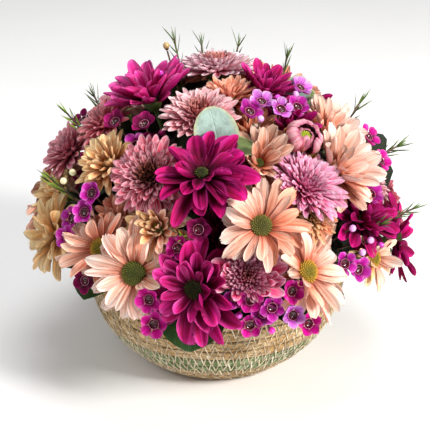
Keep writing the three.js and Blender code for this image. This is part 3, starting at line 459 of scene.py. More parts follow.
# The dark and the light colour of an eye
EYES = {
    "green": ("3a4016", "70702c"),
    "olive": ("46441a", "807a3a"),
    "dark": ("22260a", "4c521a"),
    "gold": ("70681e", "ce9e38"),
    "brown": ("4c241c", "96543e"),
    "wine": ("600c22", "aa3a4e"),
    "lime": ("8c9c22", "cec854"),
}

# The colours at the heart of a bloom whose heart differs from its petals
HEARTS = {"anemone": "quill_heart"}


@dataclass
class Bloom:
    """One bloom. It wears palette on one side and other on the other, and heart in the middle. The lighter
    side of magenta_lit beside magenta, and of peach_pale beside coral, is painted light.
    """

    kind: str
    spot: tuple
    radius: float
    palette: str
    face: tuple = None
    eye: str = "green"
    other: str = None
    heart: str = None

    def __post_init__(self):
        self.face = self.face or self.spot[:2]
        self.other = self.other or self.palette
        self.heart = self.heart or HEARTS.get(self.kind, self.palette)

    def head(self):
        return place(*self.spot), axes_along(heading(*self.face))


# Each spray: the name of a material slot, and its blooms. The first
# bloom's stem stands in the foam, and the others fork from it.
SPRAYS = {
    "pink_anemone_low": ("petal_candy", [Bloom("anemone", (9, 27, 151), 24, "striped", (4, 34), "brown")]),
    "peach_daisy_front": ("petal_peach", [
        Bloom("daisy", (14, 39, 161), 32, "peach_pale", (8, 38), "olive", "coral"),
    ]),
    "rose_mum_left": ("petal_rose", [
        Bloom("double", (-27, 51, 161), 32, "rose", (-20, 42), "brown", None, "heart_dark"),
    ]),
    "pink_mum_upper": ("petal_pink", [
        Bloom("double", (-12, 69.5, 169), 30, "pink", None, "wine", None, "heart_rosy"),
    ]),
    "magenta_daisy_front": ("petal_magenta", [
        Bloom("wide", (-6, 52, 165), 39, "magenta", (-6, 68), "dark"),
    ]),
    "magenta_daisies_low": ("petal_magenta", [
        Bloom("full", (-6, 24, 150), 38, "magenta_lit", (-26, 18), "dark", "magenta"),
        # This cup wears the darkest magenta as painted shade
        Bloom("cup", (2, 38, 138), 26, "magenta_in_shade", None, "dark"),
    ]),
    "peach_daisy_low_right": ("petal_peach", [
        Bloom("daisy", (27, 26, 151), 35, "peach", (40, 24), "gold", "peach_pale"),
    ]),
    "peach_daisy_low_left": ("petal_peach", [
        Bloom("daisy", (-25, 26, 151), 35, "peach_pale", (-14, 24), "green", "peach"),
    ]),
    "pink_mum_top": ("petal_pink", [
        Bloom("double", (180, 86, 172), 32, "pink_pale", None, "wine", None, "heart_rosy"),
    ]),
    "pink_mum_right": ("petal_candy", [Bloom("double", (35.5, 47, 160), 32, "candy", (40, 52), "wine")]),
    "peach_daisies_right": ("petal_peach", [
        Bloom("cup", (55.5, 48, 157), 36, "peach", (44, 38), "gold", "peach_pale"),
        Bloom("cup", (73, 57, 157), 32, "peach", (60, 48), "gold", "peach_pale"),
    ]),
    "pink_button_bud": ("petal_candy", [Bloom("button", (41, 58, 166), 15, "bud", (34, 46), "lime")]),
    # This bloom wears the brightest magenta as painted light
    "magenta_daisy_upper_left": ("petal_magenta", [Bloom("cup", (-72, 72, 166), 37, "magenta_brightly_lit")]),
    "peach_daisies_left": ("petal_peach", [
        Bloom("daisy", (-39, 30, 150), 31, "peach", (-32, 22), "gold", "salmon"),
        Bloom("semi", (-38, 38, 146), 24, "salmon"),
    ]),
    "apricot_mum_left": ("petal_apricot", [
        Bloom("semi", (-50, 51, 160), 28, "apricot", (-42, 46), "gold"),
    ]),
    "coral_mum_top": ("petal_coral", [Bloom("semi", (15, 79, 165), 25, "salmon", None, "brown")]),
    "peach_daisies_upper": ("petal_peach", [
        Bloom("cup", (20, 57, 156), 31, "peach", (16, 42), "green"),
        Bloom("cup", (24, 68, 154), 24, "coral"), Bloom("semi", (26, 50, 148), 22, "coral", (20, 40)),
    ]),
    "rose_mums_left": ("petal_rose", [
        Bloom("small_double", (-84, 58, 159), 27, "dusk", (-64, 50), "wine"),
        Bloom("small_double", (-93, 43, 156), 28, "mauve", (-66, 40), "wine"),
        Bloom("daisy", (-112, 60, 156), 28, "mauve", None, "green"),
    ]),
    "tan_daisies_left": ("petal_tan", [
        Bloom("full", (-69, 25, 142), 32, "tan", (-62, 16), "gold"),
        Bloom("cup", (-84, 33, 143), 26, "tan", (-74, 32), "gold"),
    ]),
    "magenta_daisies_right": ("petal_magenta", [
        Bloom("full", (57, 33, 149), 30, "magenta", None, "dark"),
        Bloom("daisy", (76, 20, 148), 30, "magenta", (76, 10), "dark"),
    ]),
    "magenta_daisies_upper_right": ("petal_magenta", [
        Bloom("cup", (64, 77, 166), 27, "magenta_lit", None, "dark", "magenta"),
        Bloom("cup", (48, 65, 160), 26, "magenta_lit", (36, 56), "dark", "magenta"),
    ]),
    "coral_mum_left": ("petal_coral", [
        Bloom("semi", (-20, 39, 153), 29, "apricot", (-18, 36), "gold", "peach"),
    ]),
    "orange_mum_right": ("petal_coral", [
        Bloom("small_double", (33, 39, 159), 20, "apricot", (28, 34), "gold", "coral"),
    ]),
    "apricot_daisy_right": ("petal_apricot", [
        Bloom("daisy", (54, 22.5, 151), 23, "apricot", (48, 12), "gold", "peach_pale"),
    ]),
    "pink_mums_right": ("petal_pink", [
        Bloom("small_double", (83, 38, 147), 23, "pink", None, "wine"),
        Bloom("small_double", (90, 62, 156), 29, "pink_pale", None, "wine"),
    ]),
    "back_peach_daisies_left": ("petal_peach", [
        Bloom("daisy", (-104, 24, 145), 40, "peach", None, "green"),
        Bloom("daisy", (-128, 46, 150), 40, "peach_pale", None, "gold"),
    ]),
    "back_magenta_daisies_left": ("petal_magenta", [
        Bloom("full", (-134, 22, 143), 41, "magenta", None, "dark"),
        Bloom("full", (-158, 47, 150), 41, "magenta", None, "dark"),
    ]),
    "back_pink_mums": ("petal_pink", [
        Bloom("small_double", (-164, 22, 143), 40, "pink", None, "wine"),
        Bloom("small_double", (-140, 69, 160), 35, "pink_pale", None, "wine"),
    ]),
    "back_peach_daisies_right": ("petal_peach", [
        Bloom("daisy", (166, 23, 143), 41, "peach_pale", None, "green"),
        Bloom("daisy", (172, 50, 150), 38, "peach", None, "gold"),
    ]),
    "back_magenta_daisies_right": ("petal_magenta", [
        Bloom("full", (137, 22, 143), 41, "magenta", None, "dark"),
        Bloom("full", (143, 48, 150), 40, "magenta", None, "dark"),
    ]),
    "back_rose_mums": ("petal_rose", [
        Bloom("small_double", (108, 22, 144), 39, "rose", None, "brown"),
        Bloom("small_double", (112, 47, 150), 37, "dusk", None, "brown"),
    ]),
    "back_coral_mums": ("petal_coral", [
        Bloom("semi", (170, 72, 160), 35, "coral"), Bloom("semi", (118, 70, 160), 34, "salmon"),
    ]),
}

# Sprays whose first bloom has its green eye as a solid of its own
OWN_EYES = ("peach_daisy_front", "magenta_daisies_low", "peach_daisy_low_right")
OWN_EYE_SIZE = 0.24
OWN_EYE_HEIGHT = 2.2

FINE_ROWS = np.array([0, 0.09, 0.22, 0.37, 0.52, 0.66, 0.78, 0.88, 0.95, 1.0])
PLAIN_ROWS = np.array([0, 0.2, 0.45, 0.7, 0.9, 1.0])
WIDE_PETAL = 0.18
PETAL_THICKNESS = 0.6
DARK_LEAF_THICKNESS = 0.5
NOTCH_DEPTH = 0.026

# Where along a petal of each tip it is fullest, and the least width that it closes to
TIPS = {"round": (0.70, 0.16), "notched": (0.66, 0.46), "blunt": (0.60, 0.14), "point": (0.50, 0.05)}


def petal_outline(span, tip):
    """Half width of a petal along its run, as a part of its greatest half width."""
    opening = 0.40 + 0.60 * smooth(0.0, 0.62, span)
    fullest, least = TIPS[tip]
    closing = np.sqrt(np.clip(1 - (np.clip(span - fullest, 0, 1) / (1.006 - fullest)) ** 2, 0, 1))
    return opening * np.maximum(closing, least)


def petal_sheet(head, radius, ring, angle, lift, stretch, play):
    """Upper points of one petal, and the direction that each row faces.

    play holds eight chances from -1 to 1: the petal's length, pitch, curl, width,
    sway, twist, hollow and notch.
    """
    centre, (u, v, n) = head
    play = play * ring.loose
    span = FINE_ROWS if ring.fine else PLAIN_ROWS
    width = 7 if ring.fine and ring.width > WIDE_PETAL else 5 if ring.fine else 3
    out, side = swung(u, v, angle), swung(v, -u, angle)
    length = ring.length * radius * stretch * (1 + 0.12 * play[0])
    tilt = (ring.pitch + lift + 8 * play[1] + (ring.curl + 16 * play[2]) * span**1.7) * DEG
    middle = (tilt[1:] + tilt[:-1]) / 2
    step = np.diff(span) * length
    run = ring.root * radius + np.concatenate([[0], np.cumsum(step * np.cos(middle))])
    high = ring.base + np.concatenate([[0], np.cumsum(step * np.sin(middle))])
    half = ring.width * radius / 2 * (1 + 0.14 * play[3]) * petal_outline(span, ring.tip)
    half = half * (1 + 0.06 * np.sin(9 * span + 5 * play[4]))
    across = np.linspace(-1, 1, width)
    sway = 0.1 * play[4] * length * span**2
    spine = centre + np.outer(run, out) + np.outer(high, n) + np.outer(sway, side)
    facing = fanned(n, -out, tilt)
    twist = 30 * DEG * play[5] * span
    cosine, sine = np.cos(twist)[:, None], np.sin(twist)[:, None]
    sideways = cosine * side + sine * facing
    facing = cosine * facing - sine * side
    hollow = ring.cup * (1 + 0.4 * play[6]) * across**2 + ring.furrow * np.cos(FULL_TURN * across)
    wave = 0.13 * np.sin(3 * across + 7 * play[6] + 5 * span[:, None]) * span[:, None] ** 2
    points = blade(spine, sideways[:, None], facing[:, None], half, across, hollow + wave)
    if ring.tip == "notched":
        teeth = NOTCH_DEPTH * length * (1 + 0.6 * play[7]) * (1 - np.cos(3 * math.pi * across)) / 2
        ahead = fanned(out, n, tilt)
        points = points - ahead[:, None] * (smooth(0.86, 1.0, span)[:, None] * teeth)[..., None]
    return points, facing, span, across


def blended(first, second, share):
    """The colours between two of COLOURS, or between two like them."""
    (a_colours, a_streak), (b_colours, b_streak) = first, second
    return [mix(a, b, share) for a, b in zip(a_colours, b_colours)], mix(a_streak, b_streak, share)


def petal_tints(colours, streak, span, across, play, under):
    root, middle, tip, edge, back = colours
    run = span[:, None, None]
    colour = mix(mix(root, middle, smooth(0.0, 0.42, run)), tip, smooth(0.4, 1.0, run))
    # Toward its rim and tip a petal turns to its edge colour: its own paler rim, with painted highlight
    # along it
    rim = np.maximum(smooth(0.45, 1.0, np.abs(across))[None, :, None], smooth(0.86, 1.0, run))
    colour = mix(colour, edge, 0.7 * rim * smooth(0.1, 0.6, run)) * (1 + 0.2 * play[7])
    if under:
        colour = mix(colour, back, 0.6)
    return np.concatenate([colour, np.full((len(span), len(across), 1), streak)], axis=2).reshape(-1, 4)


def add_petal(skin, sheet, outside, play, number, inside=None):
    """A thin petal: its face, and its back close under it. outside and inside are colours."""
    points, facing, span, across = sheet
    over = petal_tints(*(inside or outside), span, across, play, False)
    under = petal_tints(*outside, span, across, play, inside is None)
    marks = blade_marks(across, span, number)
    shut = np.clip(np.minimum(span / 0.1, (1 - span) / 0.12), 0, 1)
    depth = PETAL_THICKNESS * (1 - across**2)[None] * shut[:, None]
    faces = grid_faces(len(span), len(across))
    skin.add(points, faces, over, marks, PETAL)
    skin.add(points - facing[:, None] * depth[..., None], faces[:, ::-1], under, marks, PETAL)


class Crowd:
    """What already stands in the arrangement, so that later petals bend clear of it."""

    def __init__(self):
        self.bodies = []

    def add(self, sheets):
        points, faces, count = [], [], 0
        for sheet in sheets:
            rows, width = sheet.shape[:2]
            points.append(sheet.reshape(-1, 3))
            faces.append(grid_faces(rows, width) + count)
            count += rows * width
        points = np.concatenate(points)
        tree = BVHTree.FromPolygons(points.tolist(), np.concatenate(faces).tolist())
        self.bodies.append((points.min(0), points.max(0), tree))

    def near(self, low, high):
        return [tree for a, b, tree in self.bodies if (a < high).all() and (low < b).all()]


def coarse(points):
    """Fewer of a petal's points, for the tests of contact."""
    rows, width = points.shape[:2]
    down = np.linspace(1, rows - 1, min(rows - 1, 7)).round().astype(int)
    across = np.linspace(0, width - 1, min(width, 5)).round().astype(int)
    return points[down][:, across]


def touches(sheet, trees):
    faces = grid_faces(*sheet.shape[:2]).tolist()
    tree = BVHTree.FromPolygons(sheet.reshape(-1, 3).tolist(), faces)
    return any(tree.overlap(other) for other in trees)


# How much of its length a petal keeps, and how far it lifts, until it stands clear
YIELDS = [
    (1, 0), (1, 8), (1, -10), (1, 18), (1, -20), (0.9, 0), (0.9, 26), (0.9, -28), (0.8, 10), (0.8, -14),
    (0.7, 0), (0.7, 24), (0.7, -28), (0.58, 0), (0.58, 24), (0.46, 0), (0.46, 30), (0.36, 0), (0.3, 30),
]
PETAL_REACH = 1.2
EYE_DOME = [(1.0, -1.2), (1.0, 0.0), (0.86, 0.5), (0.6, 0.82), (0.3, 0.96), (0.02, 1.0)]
FLORET_TURN = 2.39996


def add_eye(skin, centre, axes, radius, height, eye, rng):
    """A domed disc covered with small florets, set in the spiral of a daisy's eye."""
    dark, light = (linear(colour) for colour in EYES[eye])
    dome = 0.42 * radius
    profile = [
        (share * radius, height + dome * high if high > 0 else height + high) for share, high in EYE_DOME
    ]
    turned(skin, centre, axes, profile, 16, (*dark, 0.3), FLORET)
    u, v, n = axes
    count = max(24, int(6.5 * radius**1.35))
    size = 0.82 * radius / math.sqrt(count)
    floret = [(size, -0.4), (size * 0.95, 0.3), (size * 0.5, 0.75 * size + 0.3), (0.02, 0.85 * size + 0.3)]
    for k in range(count):
        share = math.sqrt((k + 0.5) / count)
        out = swung(u, v, k * FLORET_TURN)
        lift = dome * math.sqrt(max(0.0, 1 - share**2.4)) + height
        tint = mix(dark, light, np.clip(share**1.5 + 0.2 * rng.uniform(-1, 1), 0, 1))
        spot = centre + radius * share * out + lift * n
        local = axes_along(unit(n + 0.8 * share * out))
        turned(skin, spot, local, floret, 5, (*tint, 0.2), FLORET, k / count)


def footing(turn, rise):
    """The direction of a stem's hole in the foam, its mouth and its bottom."""
    out = heading(turn, rise)
    reach = FOAM_REACH - FOAM_FLATTENING * math.sin(rise * DEG) ** 2
    return out, FOCUS + out * (reach + MOUTH_CLEARANCE), FOCUS + out * (reach - HOLE_DEPTH)


def bezier(a, b, c, d, shares):
    t = np.asarray(shares, float)[:, None]
    return (1 - t) ** 3 * a + 3 * (1 - t) ** 2 * t * b + 3 * (1 - t) * t**2 * c + t**3 * d


def stem_path(flower, first):
    """Points from the foot in the foam, or from the fork, up to the bloom's neck."""
    centre, (_, _, n) = flower.head()
    neck = centre - n * NECK_DEPTH * flower.radius
    out, start, foot = footing(*flower.spot[:2])
    if first is not flower:
        fork_out, fork_mouth, _ = footing(*first.spot[:2])
        start = fork_mouth + fork_out * FORK_HEIGHT
    reach = np.linalg.norm(neck - start) * STEM_EASE
    curve = bezier(start, start + out * reach, neck - n * reach, neck, np.linspace(0, 1, 8))
    if first is flower:
        return np.vstack([foot, curve])
    return np.vstack([start - fork_out, curve[1:]])


def kept_under(points, limit):
    """Points drawn back toward a dome of some reach, so that a leaf lies under the blooms."""
    away = points - FOCUS
    reach = np.linalg.norm(away, axis=-1, keepdims=True)
    return FOCUS + away / reach * np.where(reach > limit, limit + 0.1 * (reach - limit), reach)


def add_dark_leaf(skin, points, normal, span, across, tint, number):
    """A thin leaf in the depths, dark as painted shade: its lower side, and its upper side close to it."""
    marks = blade_marks(across, span, number)
    faces = grid_faces(len(span), len(across))
    depth = DARK_LEAF_THICKNESS * (1 - across**2)[None, :, None]
    skin.add(points, faces[:, ::-1], tint, marks, GREEN)
    skin.add(points - depth * normal, faces, tint, marks, GREEN)


LEAVES_ON_STEM = (0.3, 0.38, 0.46, 0.53, 0.6, 0.66, 0.72)
LEAVES_ON_FORK = (0.36, 0.46, 0.56, 0.64, 0.72)
LEAVES_ON_TWIG = (0.3, 0.6, 0.8, 0.95)
LEAF_TURN = 2.4
LOBES = 4
# How many of the leaves in the depths wear the painted-shade wine rather than the near-black green
PAINTED_SHADE_WINE_SHARE = 0.4


def add_stem_leaves(skin, path, rng, shares):
    """Lobed leaves along a stem, between the foam and the blooms, dark as painted shade in the depths: some
    near-black green, some wine.
    """
    span = np.linspace(0, 1, 9)
    across = np.linspace(-1, 1, 5)
    lobes = 0.72 + 0.28 * np.cos(LOBES * FULL_TURN * span - 0.6)
    fullness = np.sin(math.pi * np.clip(span, 0.02, 0.985)) ** 0.6 * np.where(span > 0.25, lobes, 0.5)
    fold = 0.25 * np.abs(across)[None] + 0.12 * np.sin(9 * span[:, None] + 3 * across[None])
    for k, share in enumerate(shares):
        place_on = share * (len(path) - 1)
        low = int(min(place_on, len(path) - 2))
        base = mix(path[low], path[low + 1], place_on - low)
        u, v, n = axes_along(path[low + 1] - path[low])
        angle = LEAF_TURN * k + rng.uniform(0, 6.28)
        sideways = swung(u, v, angle)
        if base[2] < LOW_STEM:
            sideways[2] = abs(sideways[2]) + 0.25
        aim = unit(sideways + rng.uniform(0.0, 0.35) * n)
        normal = square_to(aim, n)
        length = rng.uniform(34, 50)
        # Each leaf wears the painted-shade wine or the near-black green of leaf and painted shade
        tint = WINE_PAINTED_SHADE if rng.uniform(0, 1) < PAINTED_SHADE_WINE_SHARE else LEAF_GREEN_AND_PAINTED_SHADE
        half = length * 0.34 * fullness
        droop = rng.uniform(0.1, 0.3) * length * span**2
        spine = base + np.outer(span * length, aim) - np.outer(droop, normal)
        points = blade(spine, np.cross(aim, normal), normal, half, across, fold)
        points = kept_under(points, max(INNER_REACH, np.linalg.norm(base - FOCUS) + 2))
        add_dark_leaf(skin, points, normal, span, across, tint, rng.uniform(0, 1))


# Near-black leaves that stand in the gaps between blooms, leaf shapes that carry painted shade: the piece
# that bears each, the turn, rise and reach of its middle, and the turn that it faces if not the front.
GAP_LEAVES = {
    "waxflower_far_right": [(101, 40, 160), (96, 34, 150)],
    "magenta_daisies_right": [(88, 14, 116), (84, 10, 118)],
    "waxflower_top": [(-159, 70, 156)],
    "waxflower_upper_left": [(-130, 60, 134), (-117, 54, 138), (-125, 58, 128)],
    "tan_daisies_left": [(-95, 26, 132), (-93, 20, 124)],
    "back_pink_mums": [(-150, 56, 130), (-166, 60, 134), (-163, 64, 142, -90)],
    "back_coral_mums": [(150, 60, 132), (172, 62, 134)],
    "back_peach_daisies_left": [(-116, 36, 130), (-118, 50, 132)],
    "back_magenta_daisies_left": [(-146, 36, 130), (-124, 30, 128)],
    "back_rose_mums": [(96, 34, 130), (124, 36, 130)],
    "waxflower_back_right": [(140, 34, 130)],
    "magenta_daisy_upper_left": [(-112, 76, 144, -90), (-60, 76, 146, -90)],
    "pink_mum_upper": [(-30, 69, 148, -90)],
    "rose_mum_left": [(-24, 41, 136, -90)],
}
GAP_LEAF_LEAN = 24.0
GAP_LEAF_HALF_WIDTH = 14.0
GAP_LEAF_STALK = 0.7
GAP_LEAF_BEFORE = 17
GAP_LEAF_AFTER = 15


def add_gap_leaves(skin, name, out, mouth, seed):
    """Dark stalked leaves whose blades lie round a spot each and face one side; their near-black green is
    painted shade in the gaps.
    """
    base = mouth + out * 4
    span = np.linspace(0, 1, 12)
    across = np.linspace(-1, 1, 5)
    fold = 0.12 * np.abs(across)[None] + 0.05 * np.sin(9 * span[:, None] + 3 * across[None])
    for turn, rise, reach, *faced in GAP_LEAVES.get(name, ()):
        rng = np.random.default_rng(seed)
        to_spot = place(turn, rise, reach) - base
        away = np.linalg.norm(to_spot)
        aim = to_spot / away
        normal = square_to(aim, heading(faced[0] if faced else 0.0, GAP_LEAF_LEAN))
        length = away + GAP_LEAF_AFTER
        stalk = max(away - GAP_LEAF_BEFORE, 0) / length
        opened = np.clip((span - stalk) / (1 - stalk), 0, 1)
        half = GAP_LEAF_HALF_WIDTH * np.sin(math.pi * np.clip(opened, 0, 0.98)) ** 0.6
        half = np.maximum(half, GAP_LEAF_STALK)
        spine = base + np.outer(span * length, aim)
        points = blade(spine, np.cross(aim, normal), normal, half, across, fold)
        # The near-black green is painted shade filling the gap
        add_dark_leaf(skin, points, normal, span, across, LEAF_GREEN_AND_PAINTED_SHADE, rng.uniform(0, 1))


def add_calyx(skin, flower, head):
    """The green cup of overlapping bracts under a bloom, and the mound its petals stand on, which in a
    spiral bloom is darkened as painted shade.
    """
    centre, axes = head
    radius = flower.radius
    kind = KINDS[flower.kind]
    rings = list(kind.rings)
    if kind.spiral:
        rings += [kind.spiral.petal(share) for share in (1.0, 0.8, 0.6, 0.4, 0.2, 0.0)]
    outer = rings[0].root * radius
    deep = NECK_DEPTH * radius
    cup = [(1.5, -deep), (outer * 0.55, -deep * 0.82), (outer * 0.92, -deep * 0.45),
           (outer * 1.04, -1.2), (outer * 0.98, -0.2)]
    turned(skin, centre, axes, cup, 18, CALYX_GREEN, GREEN)
    heap = [(ring.root * radius * 0.98, max(ring.base, 0.0) + 0.1) for ring in rings]
    mound = [cup[-1], *heap, (0.05, rings[-1].base + 0.5)]
    # A spiral's mound wears its heart's root colour at 0.6: painted shade deep among the petals
    tint = (*(COLOURS[flower.heart][0][0] * 0.6), 0.3) if kind.spiral else CALYX_GREEN
    turned(skin, centre, axes, mound, 18, tint, GREEN)


def add_bloom(skin, flower, first, crowd, seed, own_eye):
    """One bloom on its stem. Returns its petals' sheets for the crowd."""
    rng = np.random.default_rng(seed)
    head = flower.head()
    centre, axes = head
    radius = flower.radius
    kind = KINDS[flower.kind]
    path = stem_path(flower, first)
    tube(skin, path, STEM_RADIUS * (1 if first is flower else 0.8), 8, STEM_GREEN)
    add_stem_leaves(skin, path, rng, LEAVES_ON_STEM if first is flower else LEAVES_ON_FORK)
    add_calyx(skin, flower, head)
    reach = radius * PETAL_REACH
    trees = crowd.near(centre - reach, centre + reach)
    sheets = []
    for ring, angle in kind.petals(rng):
        play = rng.uniform(-1, 1, 8)
        for stretch, lift in YIELDS:
            sheet = petal_sheet(head, radius, ring, angle, lift, stretch, play)
            if ring.share < 0.5 or not trees or not touches(coarse(sheet[0]), trees):
                break
        # Blends the two sides' palettes by the petal's angle round the bloom; a lit side is painted light
        share = np.clip(0.5 + 0.55 * math.cos(angle) + 0.5 * play[5], 0, 1)
        sides = (COLOURS[ring.palette or name] for name in (flower.palette, flower.other))
        colours = blended(*sides, share)
        if ring.share < 1:
            colours = blended(colours, COLOURS[flower.heart], 1 - smooth(*kind.core, ring.share))
        add_petal(skin, sheet, colours, play, rng.uniform(0, 1), COLOURS.get(ring.inside))
        if ring.share > 0.4:
            sheets.append(coarse(sheet[0]))
    if not own_eye:
        top = kind.spiral.heart.base + 0.2 if kind.spiral else kind.rings[-1].base + 0.4
        add_eye(skin, centre, axes, kind.eye * radius, kind.eye_height or top, flower.eye, rng)
    return sheets


# Waxflower sprays: the turn and rise of the stem's hole, and each tip's kind,
# turn, rise, reach and colour.
WAXFLOWERS = {
    "waxflower_upper_right": (37, 72, [
        ("flower", 34, 71, 176, "wax_light"), ("flower", 42, 67, 176, "wax_light"),
        ("bud", 46, 70, 178, "violet"), ("flower", 22, 69, 174, "violet"),
        ("flower", 55, 66, 175, "violet"), ("bud", 26, 66, 174, "wax_light"),
    ]),
    "waxflower_top_right": (73, 66, [
        ("flower", 76, 69, 178, "wax_light"), ("needles", 106, 73, 188, ""),
        ("bud", 66, 69, 176, "wax_light"),
    ]),
    "waxflower_upper_left": (-50, 61, [
        ("flower", -58, 60, 174, "wax_dark"), ("flower", -42, 63, 172, "wax_dark"),
        ("flower", -37, 60.5, 160, "wax_dark"), ("flower", -45, 59, 160, "violet"),
        ("bud", -33, 64, 164, "wax_dark"),
    ]),
    "waxflower_left": (-52, 33, [
        ("flower", -46, 37, 164, "violet"), ("flower", -51, 29, 158, "violet"),
        ("flower", -42, 20, 150, "wax_dark"), ("flower", -46, 42, 166, "violet"),
        ("needles", -68, 39, 168, "lime"), ("bud", -60, 44, 168, "cream"),
        ("flower", -53, 34, 158, "violet"), ("bud", -60, 41, 170, "cream"),
        ("needles", -75, 37, 162, "lime"),
    ]),
    "waxflower_rim_left": (-18, 19, [
        ("flower", -19, 20, 154, "wax_bright"), ("flower", -18, 13, 147, "wax_bright"),
    ]),
    "waxflower_middle": (-9, 37, [
        ("flower", -6, 39, 158, "wax_dark"), ("flower", -12, 34, 157, "wax_bright"),
        ("needles", -11, 37, 159, "lime"),
    ]),
    "waxflower_rim_right": (18, 19, [
        ("flower", 9, 21, 156, "wax_bright"), ("flower", 9, 14, 150, "wax_bright"),
        ("flower", 21, 22, 156, "wax_bright"), ("flower", 26, 12, 150, "wax_bright"),
        ("flower", 15, 18.5, 155, "violet"), ("flower", 21, 15.5, 153, "wax_light"),
        ("bud", 15, 12, 150, "wax_bright"), ("flower", 13, 17, 151, "violet"),
        ("bud", 28, 9.5, 150, "wax_bright"), ("flower", 5, 22, 154, "violet"),
        ("bud", 6, 17, 151, "violet"),
    ]),
    "waxflower_right": (50, 28, [
        ("flower", 41, 25, 153, "violet"), ("flower", 61, 38, 163, "violet"),
        ("bud", 46, 33, 160, "wax_light"), ("needles", 76, 27, 171, ""), ("bud", 52, 28, 159, "wax_light"),
        ("bud", 57, 25, 157, "violet"), ("bud", 48, 26, 156, "wax_light"),
        ("flower", 46, 22, 152, "violet"), ("needles", 59, 30, 160, ""),
    ]),
    "waxflower_far_right": (98, 44, [
        ("flower", 82, 48, 172, "wax_bright"), ("flower", 77, 42, 169, "wax_bright"),
        ("needles", 88, 40, 180, ""), ("needles", 90, 54, 183, ""),
    ]),
    "waxflower_top": (-80, 84, [
        ("needles", -146, 72, 194, ""), ("needles", 160, 75, 187, ""), ("bud", -70, 76, 182, "violet"),
        ("bud", -128, 75, 191, "husk"), ("needles", -168, 72, 188, ""),
    ]),
    "waxflower_far_left": (-78, 51, [
        ("needles", -90, 51, 181, "lime"), ("flower", -102, 50, 166, "wax_dark"),
        ("needles", -101, 57, 177, ""),
    ]),
    "waxflower_back_left": (-142, 38, [
        ("flower", -144, 36, 162, "violet"), ("flower", -136, 33, 160, "violet"),
    ]),
    "waxflower_back_right": (128, 38, [
        ("flower", 126, 36, 162, "violet"), ("flower", 117, 35, 160, "violet"),
    ]),
}
BRANCHING_HEIGHT = 24.0
BRANCHING_STEP = 4.0
WAX_CUP = 3.7
WAX_REACH = 6.9
WAX_WIDTH = 8.4
WAX_ROWS = np.array([0, 0.15, 0.4, 0.65, 0.85, 1.0])
WAX_OUTLINE = np.array([0.34, 0.70, 1.0, 1.0, 0.78, 0.28])
WAX_SIDES = 15
WAX_NECK = [(0.9, -5.0), (1.9, -3.6), (3.2, -1.6), (WAX_CUP, 0.0)]
WAX_RIM = [(WAX_CUP, 0.0), (WAX_CUP + 0.06, 0.5), (WAX_CUP - 0.1, 0.66), (WAX_CUP - 0.26, 0.5)]
WAX_HOLLOW = [(WAX_CUP - 0.34, 0.5), (3.0, -0.5), (2.0, -1.2), (0.9, -1.4), (0.02, -1.3)]
BUD = [(0.9, -3.6), (1.6, -2.4), (2.5, -0.6), (2.6, 0.6), (2.0, 1.9), (0.8, 2.7), (0.02, 2.9)]
CUP_WINE = (*linear("5c0422"), 0.2)
CUP_RING = (*linear("e28cb2"), 0.1)
CUP_DEEP = (*linear("2c000e"), 0.2)
PISTIL = (*linear("f0d0ce"), 0.0)
ANTHER = (*linear("964654"), 0.0)
WAX_TILT = np.array([0.0, -0.3, 0.0])
WAX_PETALS = 5
STAMENS = 10
NEEDLE_SPACING = 5.2
NEEDLE_WIDTH = 1.2
TWIG_RADII = (0.95, 0.85, 0.7)
FLOWER_SPACE = 7.5
BUD_SPACE = 3.0


def add_wax_flower(skin, centre, palette, rng):
    """Five round petals about a glossy five-sided cup with a thin pale rim and a pistil."""
    axes = axes_along(unit(centre - FOCUS) + WAX_TILT + 0.16 * rng.uniform(-1, 1, 3))
    u, v, n = axes
    across = np.linspace(-1, 1, 5)
    start = rng.uniform(0, 1)
    opening = rng.uniform(-8, 16)
    size = rng.uniform(0.9, 1.08)
    for k in range(WAX_PETALS):
        play = rng.uniform(-1, 1, 8)
        angle = FULL_TURN * (k + start) / WAX_PETALS
        out, side = swung(u, v, angle), swung(v, -u, angle)
        tilt = (6 + opening + 16 * play[1] + (36 + 14 * play[2]) * WAX_ROWS) * DEG
        run = WAX_CUP * 0.9 + WAX_ROWS * WAX_REACH * size * (1 + 0.1 * play[0]) * np.cos(0.6 * tilt)
        high = -0.3 + WAX_REACH * WAX_ROWS * np.sin(tilt) * 0.7
        half = WAX_WIDTH / 2 * size * (1 + 0.1 * play[3]) * WAX_OUTLINE
        facing = fanned(n, -out, tilt)
        spine = centre + (np.outer(run, out) + np.outer(high, n))
        points = blade(spine, side, facing[:, None], half, across, 0.42 * across**2)
        add_petal(skin, (points, facing, WAX_ROWS, across), COLOURS[palette], play, rng.uniform(0, 1))
    turned(skin, centre, axes, WAX_NECK, WAX_SIDES, TWIG, GREEN)
    turned(skin, centre, axes, WAX_RIM, WAX_SIDES, CUP_RING, PETAL)
    wines = np.array([CUP_WINE, CUP_WINE, CUP_DEEP, CUP_WINE, CUP_DEEP])
    turned(skin, centre, axes, WAX_HOLLOW, WAX_SIDES, wines, GLOSS)
    lean = 0.5 * rng.uniform(-1, 1, 3)
    pistil = [centre - 1.3 * n, centre + 0.4 * n + 0.4 * lean, centre + 1.5 * n + lean]
    tube(skin, pistil, [0.26, 0.24, 0.16], 5, PISTIL, PETAL)
    for k in range(STAMENS):
        spot = centre + (WAX_CUP - 0.7) * swung(u, v, FULL_TURN * (k + 0.3) / STAMENS) + 0.6 * n
        turned(skin, spot, axes, [(0.22, -0.4), (0.24, 0.1), (0.02, 0.3)], 4, ANTHER, PETAL)


def add_bud(skin, centre, palette, rng):
    tint = (*COLOURS[palette][0][2], 0.3)
    tints = np.array([TWIG] * 2 + [tint] * (len(BUD) - 2))
    turned(skin, centre, axes_along(centre - FOCUS), BUD, 10, tints, GLOSS, rng.uniform(0, 1))


